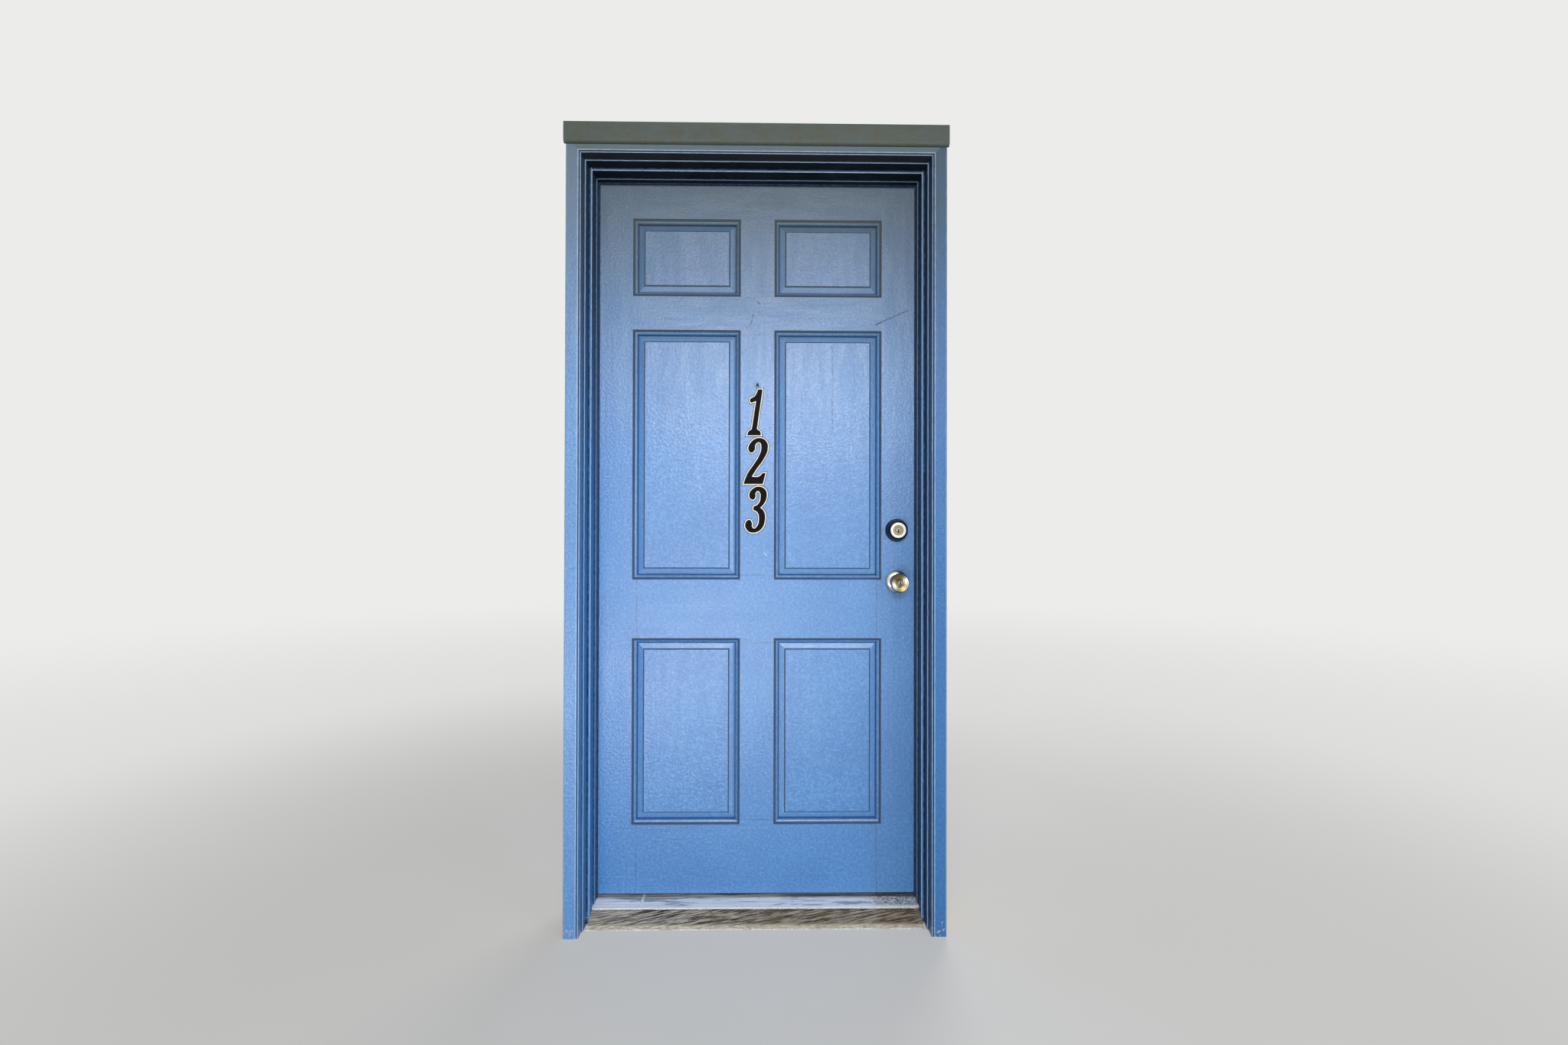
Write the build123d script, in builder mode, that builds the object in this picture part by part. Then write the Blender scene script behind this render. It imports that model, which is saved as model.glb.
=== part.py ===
"""Six-panel entrance door leaf hung in its rebated timber frame, with hinges, knob set and deadbolt.

Millimetres. X runs across the doorway, +Y points into the house and +Z up. The origin lies on the
foot of the frame, under the outside face of the closed leaf, midway between the jambs.
The latch and the deadbolt are drawn back, so that the leaf is free to swing.
"""
import os

from build123d import *

os.makedirs("parts", exist_ok=True)

# Leaf
leaf_width = 908.0
leaf_height = 2000.0
leaf_thickness = 44.5
leaf_gap = 3.2  # running gap at both sides and the head
leaf_floor_height = 46.0  # underside of the leaf above the foot of the frame
stile_face = 103.5
top_rail_face = 105.0
frieze_rail_face = 94.5
lock_rail_face = 164.5
bottom_rail_face = 192.0
muntin_face = 95.0
top_opening_height = 218.5
bottom_opening_height = 522.5

# Moulding and groove along the members round each panel
sticking_width = 13.0
sticking_depth = 9.0
sticking_quirk = 1.5
groove_width = 12.7
groove_depth = 12.0

# Raised panels
panel_float = 1.0  # room for the panel to move in its groove
panel_bevel_width = 20.5
panel_field_depth = 6.0  # field below the face of the leaf
panel_field_step = 1.8

# Jambs, one section for both legs and the head, and the stepped stops planted on them
jamb_thickness = 32.0
jamb_front = 104.0  # front edge of the jamb, outside the leaf's face
screen_stop_front = 68.0
screen_stop_depth = 8.0
door_stop_front = 28.0
door_stop_depth = 11.7
arris_radius = 1.2

# Compressible strip between the door stop and the leaf
strip_depth = 9.5
strip_width = 14.6
strip_nose_radius = 3.6
strip_clearance = 0.3

# Moulding round the outside of the frame
casing_width = 40.5
casing_thickness = 32.0
casing_reveal = 4.2  # jamb edge left showing beside it
casing_bead_radius = 1.9
casing_quirk_width = 3.0
casing_quirk_depth = 3.0
casing_band_radius = 4.0
casing_land = 6.5  # outer strip of the back that bears on the wall
casing_relief_width = 12.5  # hollowed part of the back, over the jamb's edge
casing_relief_depth = 2.0

# Board over the head moulding
head_board_height = 54.0
head_board_lip = 11.0
head_board_lap = 18.0  # how far it laps down over the head moulding
head_board_thickness = 28.0
head_board_overhang = 3.2
head_board_nose_radius = 9.0

# Sill and threshold
sill_front = 97.0
sill_nose_height = 10.0
sill_height = 24.0
sill_nose_radius = 3.0
saddle_front = 41.0
saddle_height = 13.0
saddle_edge_height = 4.0
saddle_wall = 2.2
saddle_toe = 4.4  # solid front edge
saddle_toe_room = 2.9  # height of the hollow behind it
saddle_slope_end = 4.0
saddle_back_drop = 2.0
saddle_back_slope = 6.0
seal_channel_width = 20.0
seal_channel_depth = 6.0
seal_channel_lip = 2.0
seal_clearance = 0.3

# Butt hinges
hinge_height = 102.0
hinge_plate_width = 34.5
hinge_gauge = 2.6
hinge_top_margin = 178.0  # head of the leaf to the top hinge
hinge_bottom_margin = 280.0
knuckle_radius = 6.5
knuckle_offset = 7.5  # pin axis beyond the inside face of the leaf
knuckle_count = 5
knuckle_gap = 0.3
hinge_pin_radius = 3.2
pin_clearance = 0.05
pin_head_radius = 5.2
pin_head_height = 3.5
pin_tail = 2.0
pin_tail_chamfer = 1.0
pin_head_round = 1.75
screw_hole_radius = 2.4
screw_sink_radius = 4.6
hinge_screw_inset = 9.0
hinge_screw_setback = 11.0

# Locks
backset = 60.3
knob_height = 874.0  # above the underside of the leaf
lock_spacing = 140.0  # deadbolt above the knob
cross_bore_radius = 27.0
edge_bore_radius = 12.7
faceplate_width = 25.4
faceplate_height = 57.2
faceplate_thickness = 2.5
faceplate_corner_radius = 6.0
faceplate_screw_spacing = 41.0
lock_screw_sink_radius = 3.6
lock_case_fit = 0.2
bolt_fit = 0.25
bolt_set_in = 0.2  # drawn-back bolt below the faceplate
bolt_length = 44.0
latch_width = 12.6
latch_height = 16.0
latch_nose = 9.0
latch_nose_flat = 2.1
deadbolt_width = 13.0
deadbolt_rise = 20.5
deadbolt_chamfer = 0.8
case_length = 75.0
case_slab_width = 15.0
case_slab_reach = 20.0  # past the lock axis, within the cross bore
case_slab_height = 23.0
strike_thickness = 1.8
strike_height = 57.2
strike_width = 28.6
strike_hole_margin = 1.6
strike_lip_height = 28.0
strike_lip_radius = 3.0
strike_lip_turn = 60.0
pocket_margin = 3.0
cut_margin = 2.0  # how far a cut through a plate runs past its faces

# Knob set
rose_radius = 32.0
rose_thickness = 9.0
rose_shoulder = 21.0
trim_rim = 1.6  # straight edge of the roses, the collar and the thumb plate
turning_fit = 0.05
knob_neck_radius = 12.5
knob_neck_inset = 4.0
knob_neck_end = 15.0
knob_flare_end = 36.0
knob_flare_sagitta = 2.6
knob_flare_radius = 24.6
knob_crown_radius = 26.0
knob_crown_height = 46.0
knob_face_radius = 22.6
knob_projection = 60.0
knob_face_sink = 4.0
knob_boss_radius = 9.0
key_plug_radius = 7.0
key_plug_length = 30.0
key_plug_sink = 0.8
button_radius = 5.5
button_grip_height = 6.0
button_grip_thickness = 3.0
spindle_side = 7.5
spindle_grip = 8.0
hub_radius = 5.7

# Deadbolt trim
collar_radius = 32.2
collar_face_radius = 25.5
collar_height = 27.0
collar_edge_radius = 2.5
cylinder_radius = 22.0
cylinder_projection = 29.0
cylinder_length = 36.0
cylinder_rim = 2.6
cylinder_rim_depth = 0.9
cylinder_drop = 5.0  # keyway axis below the middle of the collar
deadbolt_plug_radius = 7.8
tailpiece_width = 7.6
tailpiece_thickness = 2.4
tailpiece_end = 14.0  # before the inside face of the leaf
thumb_stem_radius = 5.2
thumb_stem_inset = 20.0
thumb_grip_length = 38.0
thumb_grip_width = 14.0
thumb_grip_crest = 6.4
thumb_grip_height = 19.0
thumb_plate_thickness = 8.0
thumb_grip_gap = 1.0
keyway_width = 1.9
keyway_height = 8.4
keyway_depth = 12.0

# Door viewer
viewer_drop = 155.0  # below the frieze rail
viewer_bore_radius = 7.0
viewer_flange_radius = 8.4
viewer_flange_thickness = 2.2
viewer_wall = 1.3
viewer_fit = 0.05
viewer_overlap = 12.0
viewer_lens_thickness = 3.0
viewer_lens_bulge = 0.2

# Places worked out from the sizes above
leaf_edge = leaf_width / 2
leaf_foot = leaf_floor_height
leaf_head = leaf_foot + leaf_height
mid_depth = leaf_thickness / 2
rebate_x = leaf_edge + leaf_gap
rebate_z = leaf_head + leaf_gap
frame_top = rebate_z + jamb_thickness
lock_x = leaf_edge - backset
knob_z = leaf_foot + knob_height
deadbolt_z = knob_z + lock_spacing
collar_z = deadbolt_z + cylinder_drop
pin_x = -(leaf_edge + leaf_gap / 2)
pin_y = leaf_thickness + knuckle_offset

rail_bottoms = {"bottom_rail": leaf_foot}
rail_bottoms["lock_rail"] = leaf_foot + bottom_rail_face + bottom_opening_height
rail_bottoms["top_rail"] = leaf_head - top_rail_face
rail_bottoms["frieze_rail"] = rail_bottoms["top_rail"] - top_opening_height - frieze_rail_face
rail_faces = {
    "bottom_rail": bottom_rail_face,
    "lock_rail": lock_rail_face,
    "frieze_rail": frieze_rail_face,
    "top_rail": top_rail_face,
}
openings = {
    "bottom": (leaf_foot + bottom_rail_face, rail_bottoms["lock_rail"]),
    "middle": (rail_bottoms["lock_rail"] + lock_rail_face, rail_bottoms["frieze_rail"]),
    "top": (rail_bottoms["frieze_rail"] + frieze_rail_face, rail_bottoms["top_rail"]),
}
hinge_bases = {
    "lower": leaf_foot + hinge_bottom_margin,
    "upper": leaf_head - hinge_top_margin - hinge_height,
}
hinge_bases["middle"] = (hinge_bases["lower"] + hinge_bases["upper"]) / 2
viewer_z = rail_bottoms["frieze_rail"] - viewer_drop


def save(piece, name):
    """Label a finished piece and write it."""
    piece.part.label = name
    export_step(piece.part, f"parts/{name}.step")


def across(x, z, y=0.0):
    """Plane facing the street at a point of the leaf, for holes that run through it."""
    return Plane(origin=(x, y, z), x_dir=(1, 0, 0), z_dir=(0, -1, 0))


def soften(sketch, points, radius):
    """Round the corners of a section that lie nearest to the given points."""
    for point in points:
        fillet(sketch.vertices().sort_by_distance(Vector(*point)).first, radius)


# Section planes of the frame: local x runs from the jamb's face into the doorway, local y inwards
hinge_side = Plane(origin=(-rebate_x, 0, 0))
strike_side = Plane(origin=(rebate_x, 0, frame_top), x_dir=(-1, 0, 0), z_dir=(0, 0, -1))


def head_side(overhang=0.0):
    """Section plane of the head, at its left end."""
    return Plane(origin=(-rebate_x - overhang, 0, rebate_z), x_dir=(0, 0, -1), z_dir=(1, 0, 0))


# Mitre planes through the two upper corners, facing the head
left_mitre = Plane(origin=(-rebate_x, 0, rebate_z), z_dir=(1, 0, 1))
right_mitre = Plane(origin=(rebate_x, 0, rebate_z), z_dir=(-1, 0, 1))


def jamb_section(plane):
    """Section of a jamb: a plain board with eased edges."""
    with BuildSketch(plane) as section:
        with Locations((0, -jamb_front)):
            Rectangle(jamb_thickness, jamb_front + leaf_thickness, align=(Align.MAX, Align.MIN))
        soften(section, [(0, -jamb_front), (0, leaf_thickness)], arris_radius)
    return section.sketch


def stop_section(plane):
    """Section of the stepped stop planted on a jamb: screen rebate outside, door rebate inside."""
    with BuildSketch(plane) as section:
        with BuildLine():
            Polyline(
                (0, -screen_stop_front),
                (screen_stop_depth, -screen_stop_front),
                (screen_stop_depth, -door_stop_front),
                (door_stop_depth, -door_stop_front),
                (door_stop_depth, -strip_depth),
                (0, -strip_depth),
                close=True,
            )
        make_face()
        steps = [(screen_stop_depth, -screen_stop_front), (door_stop_depth, -door_stop_front)]
        soften(section, steps, arris_radius)
    return section.sketch


def casing_section(plane):
    """Section of the outside moulding: an edge bead, a quirk, a flat band and a relieved back."""
    inner = -casing_reveal
    bead_end = inner - 2 * casing_bead_radius
    band_start = bead_end - casing_quirk_width
    outer = inner - casing_width
    back = -jamb_front
    front = back - casing_thickness
    relief_start = outer + casing_land
    relief_end = relief_start + casing_relief_width
    with BuildSketch(plane) as section:
        with BuildLine():
            Polyline(
                (bead_end, front + casing_bead_radius),
                (bead_end, front + casing_quirk_depth),
                (band_start, front),
                (outer, front),
                (outer, back),
                (relief_start, back),
                (relief_start, back - casing_relief_depth),
                (relief_end, back - casing_relief_depth),
                (relief_end, back),
                (inner, back),
                (inner, front + casing_bead_radius),
            )
            ThreePointArc(
                (inner, front + casing_bead_radius),
                (inner - casing_bead_radius, front),
                (bead_end, front + casing_bead_radius),
            )
        make_face()
        soften(section, [(outer, front)], casing_band_radius)
    return section.sketch


def strip_section(plane):
    """Section of the weather strip: a flat foot with a round nose against the leaf."""
    depth = strip_depth - strip_clearance
    with BuildSketch(plane) as section:
        with Locations((0, -strip_depth)):
            Rectangle(strip_width, depth, align=(Align.MIN, Align.MIN))
        nose = [(strip_width, -strip_depth), (strip_width, -strip_clearance)]
        soften(section, nose, strip_nose_radius)
    return section.sketch


def member_section(plane, face, moulded_edges):
    """Section of a stile, rail or muntin, moulded and grooved along the edges that hold a panel.

    Local x runs across the member from 0 to its face width and local y through the leaf.
    """
    with BuildSketch(plane) as section:
        Rectangle(face, leaf_thickness, align=(Align.MIN, Align.MIN))
        for edge, outward in moulded_edges:
            tip = edge + outward * sticking_width
            ovolo_rise = sticking_depth - sticking_quirk
            with BuildLine():
                Line((edge, sticking_quirk), (edge, leaf_thickness - sticking_quirk))
                EllipticalCenterArc(
                    (edge, sticking_depth), sticking_width, ovolo_rise, 270, arc_size=outward * 90
                )
                Line((tip, sticking_depth), (tip, leaf_thickness - sticking_depth))
                EllipticalCenterArc(
                    (edge, leaf_thickness - sticking_depth),
                    sticking_width,
                    ovolo_rise,
                    90,
                    arc_size=-outward * 90,
                )
            make_face()
            with Locations((tip - outward * groove_depth / 2, mid_depth)):
                Rectangle(groove_depth, groove_width, mode=Mode.SUBTRACT)
    return section.sketch


def turned(profile, x, z):
    """Revolve a profile of radius against depth round the lock axis at x, z."""
    with BuildSketch(Plane(origin=(x, 0, z))) as section:
        with BuildLine():
            Polyline(*profile, close=True)
        make_face()
    revolve(section.sketch, axis=Axis((x, 0, z), (0, 1, 0)))


# Frame legs and head
with BuildPart() as hinge_jamb:
    extrude(jamb_section(hinge_side), amount=frame_top)
    for base in hinge_bases.values():
        with Locations((-rebate_x, leaf_thickness, base)):
            Box(
                hinge_gauge,
                hinge_plate_width,
                hinge_height,
                align=(Align.MAX, Align.MAX, Align.MIN),
                mode=Mode.SUBTRACT,
            )


def strike_mortise(z, width, height):
    """Recess for a strike plate in the jamb, with the pocket for its bolt cut on through the jamb."""
    with Locations((rebate_x, mid_depth, z)):
        Box(
            strike_thickness,
            strike_width,
            strike_height,
            align=(Align.MIN, Align.CENTER, Align.CENTER),
            mode=Mode.SUBTRACT,
        )
        Box(
            jamb_thickness + cut_margin,
            width + 2 * pocket_margin,
            height + 2 * pocket_margin,
            align=(Align.MIN, Align.CENTER, Align.CENTER),
            mode=Mode.SUBTRACT,
        )


def lip_recess():
    """Shallow recess for the tongue of the latch strike, out to the inside edge of the jamb."""
    with Locations((rebate_x, mid_depth, knob_z)):
        Box(
            strike_thickness,
            leaf_thickness - mid_depth,
            strike_lip_height,
            align=(Align.MIN, Align.MIN, Align.CENTER),
            mode=Mode.SUBTRACT,
        )


with BuildPart() as strike_jamb:
    extrude(jamb_section(strike_side), amount=frame_top)
    strike_mortise(knob_z, latch_width, latch_height)
    strike_mortise(deadbolt_z, deadbolt_width, deadbolt_rise)
    lip_recess()

with BuildPart() as head_jamb:
    extrude(jamb_section(head_side()), amount=2 * rebate_x)

# Stops: the head one is coped over the side ones
with BuildPart() as hinge_stop:
    extrude(stop_section(hinge_side), amount=rebate_z)

with BuildPart() as strike_stop:
    extrude(stop_section(strike_side.offset(jamb_thickness)), amount=rebate_z)

with BuildPart() as head_stop:
    extrude(stop_section(head_side()), amount=2 * rebate_x)
    add(hinge_stop.part, mode=Mode.SUBTRACT)
    add(strike_stop.part, mode=Mode.SUBTRACT)

save(hinge_jamb, "hinge_jamb")
save(strike_jamb, "strike_jamb")
save(head_jamb, "head_jamb")
save(hinge_stop, "hinge_stop")
save(strike_stop, "strike_stop")
save(head_stop, "head_stop")

# Outside moulding, mitred at the head
with BuildPart() as left_casing:
    extrude(casing_section(hinge_side), amount=frame_top + casing_width)
    split(bisect_by=left_mitre, keep=Keep.BOTTOM)

with BuildPart() as right_casing:
    extrude(casing_section(strike_side.offset(-casing_width)), amount=frame_top + casing_width)
    split(bisect_by=right_mitre, keep=Keep.BOTTOM)

casing_reach = casing_reveal + casing_width
with BuildPart() as head_casing:
    extrude(casing_section(head_side(casing_reach)), amount=2 * (rebate_x + casing_reach))
    split(bisect_by=left_mitre, keep=Keep.TOP)
    split(bisect_by=right_mitre, keep=Keep.TOP)

save(left_casing, "left_casing")
save(right_casing, "right_casing")
save(head_casing, "head_casing")

# Board over the head: rabbeted to lap the head moulding, with a rounded lower nose
casing_front = jamb_front + casing_thickness
casing_top = rebate_z + casing_reach
board_foot = casing_top - head_board_lap
board_front = casing_front + head_board_lip
with BuildPart() as head_board:
    half_length = rebate_x + casing_reach + head_board_overhang
    with BuildSketch(Plane(origin=(-half_length, 0, 0), x_dir=(0, 1, 0), z_dir=(1, 0, 0))) as profile:
        with BuildLine():
            Polyline(
                (-board_front, board_foot),
                (-casing_front, board_foot),
                (-casing_front, casing_top),
                (-board_front + head_board_thickness, casing_top),
                (-board_front + head_board_thickness, board_foot + head_board_height),
                (-board_front, board_foot + head_board_height),
                close=True,
            )
        make_face()
        soften(profile, [(-board_front, board_foot)], head_board_nose_radius)
        soften(profile, [(-board_front, board_foot + head_board_height)], arris_radius)
    extrude(amount=2 * half_length)
save(head_board, "head_board")

# Sill between the jambs, notched round the stops and in front of them
with BuildPart() as wood_sill:
    with BuildSketch(Plane(origin=(-rebate_x, 0, 0), x_dir=(0, 1, 0), z_dir=(1, 0, 0))) as profile:
        with BuildLine():
            Polyline(
                (-sill_front, 0),
                (-sill_front, sill_nose_height),
                (-saddle_front, sill_height),
                (leaf_thickness, sill_height),
                (leaf_thickness, 0),
                close=True,
            )
        make_face()
        soften(profile, [(-sill_front, sill_nose_height)], sill_nose_radius)
    extrude(amount=2 * rebate_x)
    add(hinge_stop.part, mode=Mode.SUBTRACT)
    add(strike_stop.part, mode=Mode.SUBTRACT)
    horn_length = jamb_front - screen_stop_front
    stop_fronts = [(x, -screen_stop_front, 0) for x in (-rebate_x, rebate_x - screen_stop_depth)]
    with Locations(*stop_fronts):
        Box(
            screen_stop_depth,
            horn_length,
            sill_height,
            align=(Align.MIN, Align.MAX, Align.MIN),
            mode=Mode.SUBTRACT,
        )
save(wood_sill, "wood_sill")

# Extruded saddle over the sill: hollow underneath, with a channel for the seal
saddle_top = sill_height + saddle_height
channel_start = mid_depth - seal_channel_width / 2
saddle_underside = saddle_top - saddle_wall
with BuildPart() as threshold_saddle:
    with BuildSketch(Plane(origin=(-rebate_x, 0, 0), x_dir=(0, 1, 0), z_dir=(1, 0, 0))):
        with BuildLine():
            Polyline(
                (-saddle_front, sill_height),
                (-saddle_front, sill_height + saddle_edge_height),
                (-saddle_slope_end, saddle_top),
                (leaf_thickness - saddle_back_slope, saddle_top),
                (leaf_thickness, saddle_top - saddle_back_drop),
                (leaf_thickness, sill_height),
                close=True,
            )
        make_face()
        with BuildLine():
            Polyline(
                (-saddle_front + saddle_toe, sill_height),
                (-saddle_front + saddle_toe, sill_height + saddle_toe_room),
                (-saddle_slope_end, saddle_underside),
                (channel_start - saddle_wall, saddle_underside),
                (channel_start - saddle_wall, sill_height),
                close=True,
            )
        make_face(mode=Mode.SUBTRACT)
        with Locations((mid_depth, saddle_top)):
            Rectangle(
                seal_channel_width - 2 * seal_channel_lip,
                seal_channel_depth,
                align=(Align.CENTER, Align.MAX),
                mode=Mode.SUBTRACT,
            )
        with Locations((mid_depth, saddle_underside)):
            Rectangle(
                seal_channel_width,
                seal_channel_depth - saddle_wall,
                align=(Align.CENTER, Align.MAX),
                mode=Mode.SUBTRACT,
            )
    extrude(amount=2 * rebate_x)
    add(hinge_stop.part, mode=Mode.SUBTRACT)
    add(strike_stop.part, mode=Mode.SUBTRACT)
save(threshold_saddle, "threshold_saddle")

# Vinyl seal held in the saddle's channel, arched up to the leaf
seal_top = leaf_foot - seal_clearance
with BuildPart() as threshold_seal:
    with BuildSketch(Plane(origin=(-rebate_x, 0, 0), x_dir=(0, 1, 0), z_dir=(1, 0, 0))):
        neck_width = seal_channel_width - 2 * seal_channel_lip
        with Locations((mid_depth, saddle_underside)):
            Rectangle(
                seal_channel_width,
                seal_channel_depth - saddle_wall,
                align=(Align.CENTER, Align.MAX),
            )
            Rectangle(neck_width, saddle_wall, align=(Align.CENTER, Align.MIN))
        with BuildLine():
            Line((mid_depth - neck_width / 2, saddle_top), (mid_depth + neck_width / 2, saddle_top))
            ThreePointArc(
                (mid_depth - neck_width / 2, saddle_top),
                (mid_depth, seal_top),
                (mid_depth + neck_width / 2, saddle_top),
            )
        make_face()
    extrude(amount=2 * rebate_x)
save(threshold_seal, "threshold_seal")

# Weather strips in the corner of the stops, mitred at the head
with BuildPart() as hinge_side_strip:
    extrude(strip_section(hinge_side.offset(saddle_top)), amount=frame_top - saddle_top)
    split(bisect_by=left_mitre, keep=Keep.BOTTOM)

with BuildPart() as strike_side_strip:
    extrude(strip_section(strike_side), amount=frame_top - saddle_top)
    split(bisect_by=right_mitre, keep=Keep.BOTTOM)

with BuildPart() as head_strip:
    extrude(strip_section(head_side()), amount=2 * rebate_x)
    split(bisect_by=left_mitre, keep=Keep.TOP)
    split(bisect_by=right_mitre, keep=Keep.TOP)

save(hinge_side_strip, "hinge_side_strip")
save(strike_side_strip, "strike_side_strip")
save(head_strip, "head_strip")

# Stiles: the hinge stile is let in for its hinges, the lock stile is bored for its locks
with BuildPart() as hinge_stile:
    stile_foot = Plane(origin=(-leaf_edge, 0, leaf_foot))
    extrude(member_section(stile_foot, stile_face, [(stile_face, 1)]), amount=leaf_height)
    for base in hinge_bases.values():
        with Locations((-leaf_edge, leaf_thickness, base)):
            Box(
                hinge_gauge,
                hinge_plate_width,
                hinge_height,
                align=(Align.MIN, Align.MAX, Align.MIN),
                mode=Mode.SUBTRACT,
            )


def faceplate_outline(z):
    """Outline of a lock faceplate on the edge of the leaf."""
    edge = Plane(origin=(leaf_edge, mid_depth, z), x_dir=(0, 1, 0), z_dir=(1, 0, 0))
    with BuildSketch(edge) as outline:
        RectangleRounded(faceplate_width, faceplate_height, faceplate_corner_radius)
    return outline.sketch


with BuildPart() as lock_stile:
    stile_foot = Plane(origin=(leaf_edge - stile_face, 0, leaf_foot))
    extrude(member_section(stile_foot, stile_face, [(0, -1)]), amount=leaf_height)
    for z in (knob_z, deadbolt_z):
        with Locations(across(lock_x, z)):
            Hole(cross_bore_radius)
        with Locations(Plane(origin=(leaf_edge, mid_depth, z), z_dir=(1, 0, 0))):
            Hole(edge_bore_radius, depth=case_length)
        extrude(faceplate_outline(z), amount=-faceplate_thickness, mode=Mode.SUBTRACT)

save(hinge_stile, "hinge_stile")
save(lock_stile, "lock_stile")

# Rails, coped over the stiles' moulding with a stub tenon in their grooves
rails = {}
rail_length = leaf_width - 2 * stile_face
for name, face in rail_faces.items():
    moulded = []
    if name != "bottom_rail":
        moulded.append((0, -1))
    if name != "top_rail":
        moulded.append((face, 1))
    rail_end = Plane(origin=(rail_length / 2, 0, rail_bottoms[name]), x_dir=(0, 0, 1), z_dir=(-1, 0, 0))
    with BuildPart() as rail:
        extrude(member_section(rail_end, face, moulded), amount=rail_length)
        add(hinge_stile.part, mode=Mode.SUBTRACT)
        add(lock_stile.part, mode=Mode.SUBTRACT)
    rails[name] = rail
    save(rail, name)

# Muntins between the rails, coped the same way; the middle one is bored for the viewer
rail_pairs = {
    "bottom": ("bottom_rail", "lock_rail"),
    "middle": ("lock_rail", "frieze_rail"),
    "top": ("frieze_rail", "top_rail"),
}
for name, (below, above) in rail_pairs.items():
    low, high = openings[name]
    with BuildPart() as muntin:
        muntin_foot = Plane(origin=(-muntin_face / 2, 0, low))
        section = member_section(muntin_foot, muntin_face, [(0, -1), (muntin_face, 1)])
        extrude(section, amount=high - low)
        add(rails[below].part, mode=Mode.SUBTRACT)
        add(rails[above].part, mode=Mode.SUBTRACT)
        if name == "middle":
            with Locations(across(0, viewer_z)):
                Hole(viewer_bore_radius)
    save(muntin, f"{name}_muntin")

# Raised panels: a tongue all round, a bevel and a field that stands a small step above it
opening_width = (leaf_width - 2 * stile_face - muntin_face) / 2
opening_x = (muntin_face + opening_width) / 2
sight_width = opening_width - 2 * sticking_width
tongue_reach = groove_depth - panel_float
tongue_face = mid_depth - groove_width / 2
for row, (low, high) in openings.items():
    sight_height = high - low - 2 * sticking_width
    field_width = sight_width - 2 * panel_bevel_width
    field_height = sight_height - 2 * panel_bevel_width
    for side, sign in (("left", -1), ("right", 1)):
        middle = (sign * opening_x, 0, (low + high) / 2)
        face = Plane(origin=middle, x_dir=(1, 0, 0), z_dir=(0, -1, 0))
        with BuildPart() as panel:
            with BuildSketch(face.offset(-mid_depth)):
                Rectangle(sight_width + 2 * tongue_reach, sight_height + 2 * tongue_reach)
            extrude(amount=groove_width / 2)
            with BuildSketch(face.offset(-tongue_face)):
                Rectangle(sight_width, sight_height)
            with BuildSketch(face.offset(-panel_field_depth - panel_field_step)):
                Rectangle(field_width, field_height)
            loft()
            with BuildSketch(face.offset(-panel_field_depth - panel_field_step)):
                Rectangle(field_width, field_height)
            extrude(amount=panel_field_step)
            mirror(about=face.offset(-mid_depth))
        save(panel, f"{row}_{side}_panel")

# Butt hinges at three heights: a frame leaf that holds the pin, and a door leaf that turns on it
pitch = hinge_height / knuckle_count


def hinge_plate(base, face_x, outward, first_knuckle, bore_radius):
    """Plate let into the wood at face_x, with every second knuckle round the pin."""
    plate_x = face_x + outward * hinge_gauge / 2
    with Locations((plate_x, leaf_thickness, base)):
        Box(hinge_gauge, hinge_plate_width, hinge_height, align=(Align.CENTER, Align.MAX, Align.MIN))
    for index in range(first_knuckle, knuckle_count, 2):
        knuckle_foot = base + index * pitch + knuckle_gap / 2
        knuckle_height = pitch - knuckle_gap
        with Locations((plate_x, leaf_thickness, knuckle_foot)):
            Box(hinge_gauge, knuckle_offset, knuckle_height, align=(Align.CENTER, Align.MIN, Align.MIN))
        with Locations((pin_x, pin_y, knuckle_foot)):
            Cylinder(knuckle_radius, knuckle_height, align=(Align.CENTER, Align.CENTER, Align.MIN))
    with Locations((pin_x, pin_y, base + hinge_height)):
        Hole(bore_radius, depth=hinge_height)
    rows = (hinge_screw_inset, hinge_height / 2, hinge_height - hinge_screw_inset)
    setbacks = (hinge_screw_setback, hinge_plate_width - hinge_screw_setback, hinge_screw_setback)
    for height, setback in zip(rows, setbacks):
        seat = Plane(origin=(face_x, leaf_thickness - setback, base + height), z_dir=(-outward, 0, 0))
        with Locations(seat):
            CounterSinkHole(screw_hole_radius, screw_sink_radius, depth=hinge_gauge)


def hinge_pin(base):
    """Headed pin through all the knuckles."""
    with BuildPart() as pin:
        with Locations((pin_x, pin_y, base - pin_tail)):
            Cylinder(
                hinge_pin_radius,
                hinge_height + pin_tail,
                align=(Align.CENTER, Align.CENTER, Align.MIN),
            )
        tail_edge = pin.faces().sort_by(Axis.Z).first.edges()
        chamfer(tail_edge, pin_tail_chamfer)
        with Locations((pin_x, pin_y, base + hinge_height - knuckle_gap / 2)):
            Cylinder(pin_head_radius, pin_head_height, align=(Align.CENTER, Align.CENTER, Align.MIN))
        crown = pin.faces().sort_by(Axis.Z).last.edges()
        fillet(crown, pin_head_round)
    return pin.part


for place, base in hinge_bases.items():
    with BuildPart() as frame_plate:
        hinge_plate(base, -rebate_x, -1, 0, hinge_pin_radius)
        add(hinge_pin(base))
    save(frame_plate, f"{place}_hinge_frame_plate")

    with BuildPart() as leaf_plate:
        hinge_plate(base, -leaf_edge, 1, 1, hinge_pin_radius + pin_clearance)
    save(leaf_plate, f"{place}_hinge_leaf_plate")



def lock_plate_screws(plane, spacing):
    """Countersunk holes above and below a bolt, through a plate that faces along the plane."""
    with Locations(plane):
        with Locations((0, spacing / 2), (0, -spacing / 2)):
            CounterSinkHole(screw_hole_radius, lock_screw_sink_radius, depth=faceplate_thickness)


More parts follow.
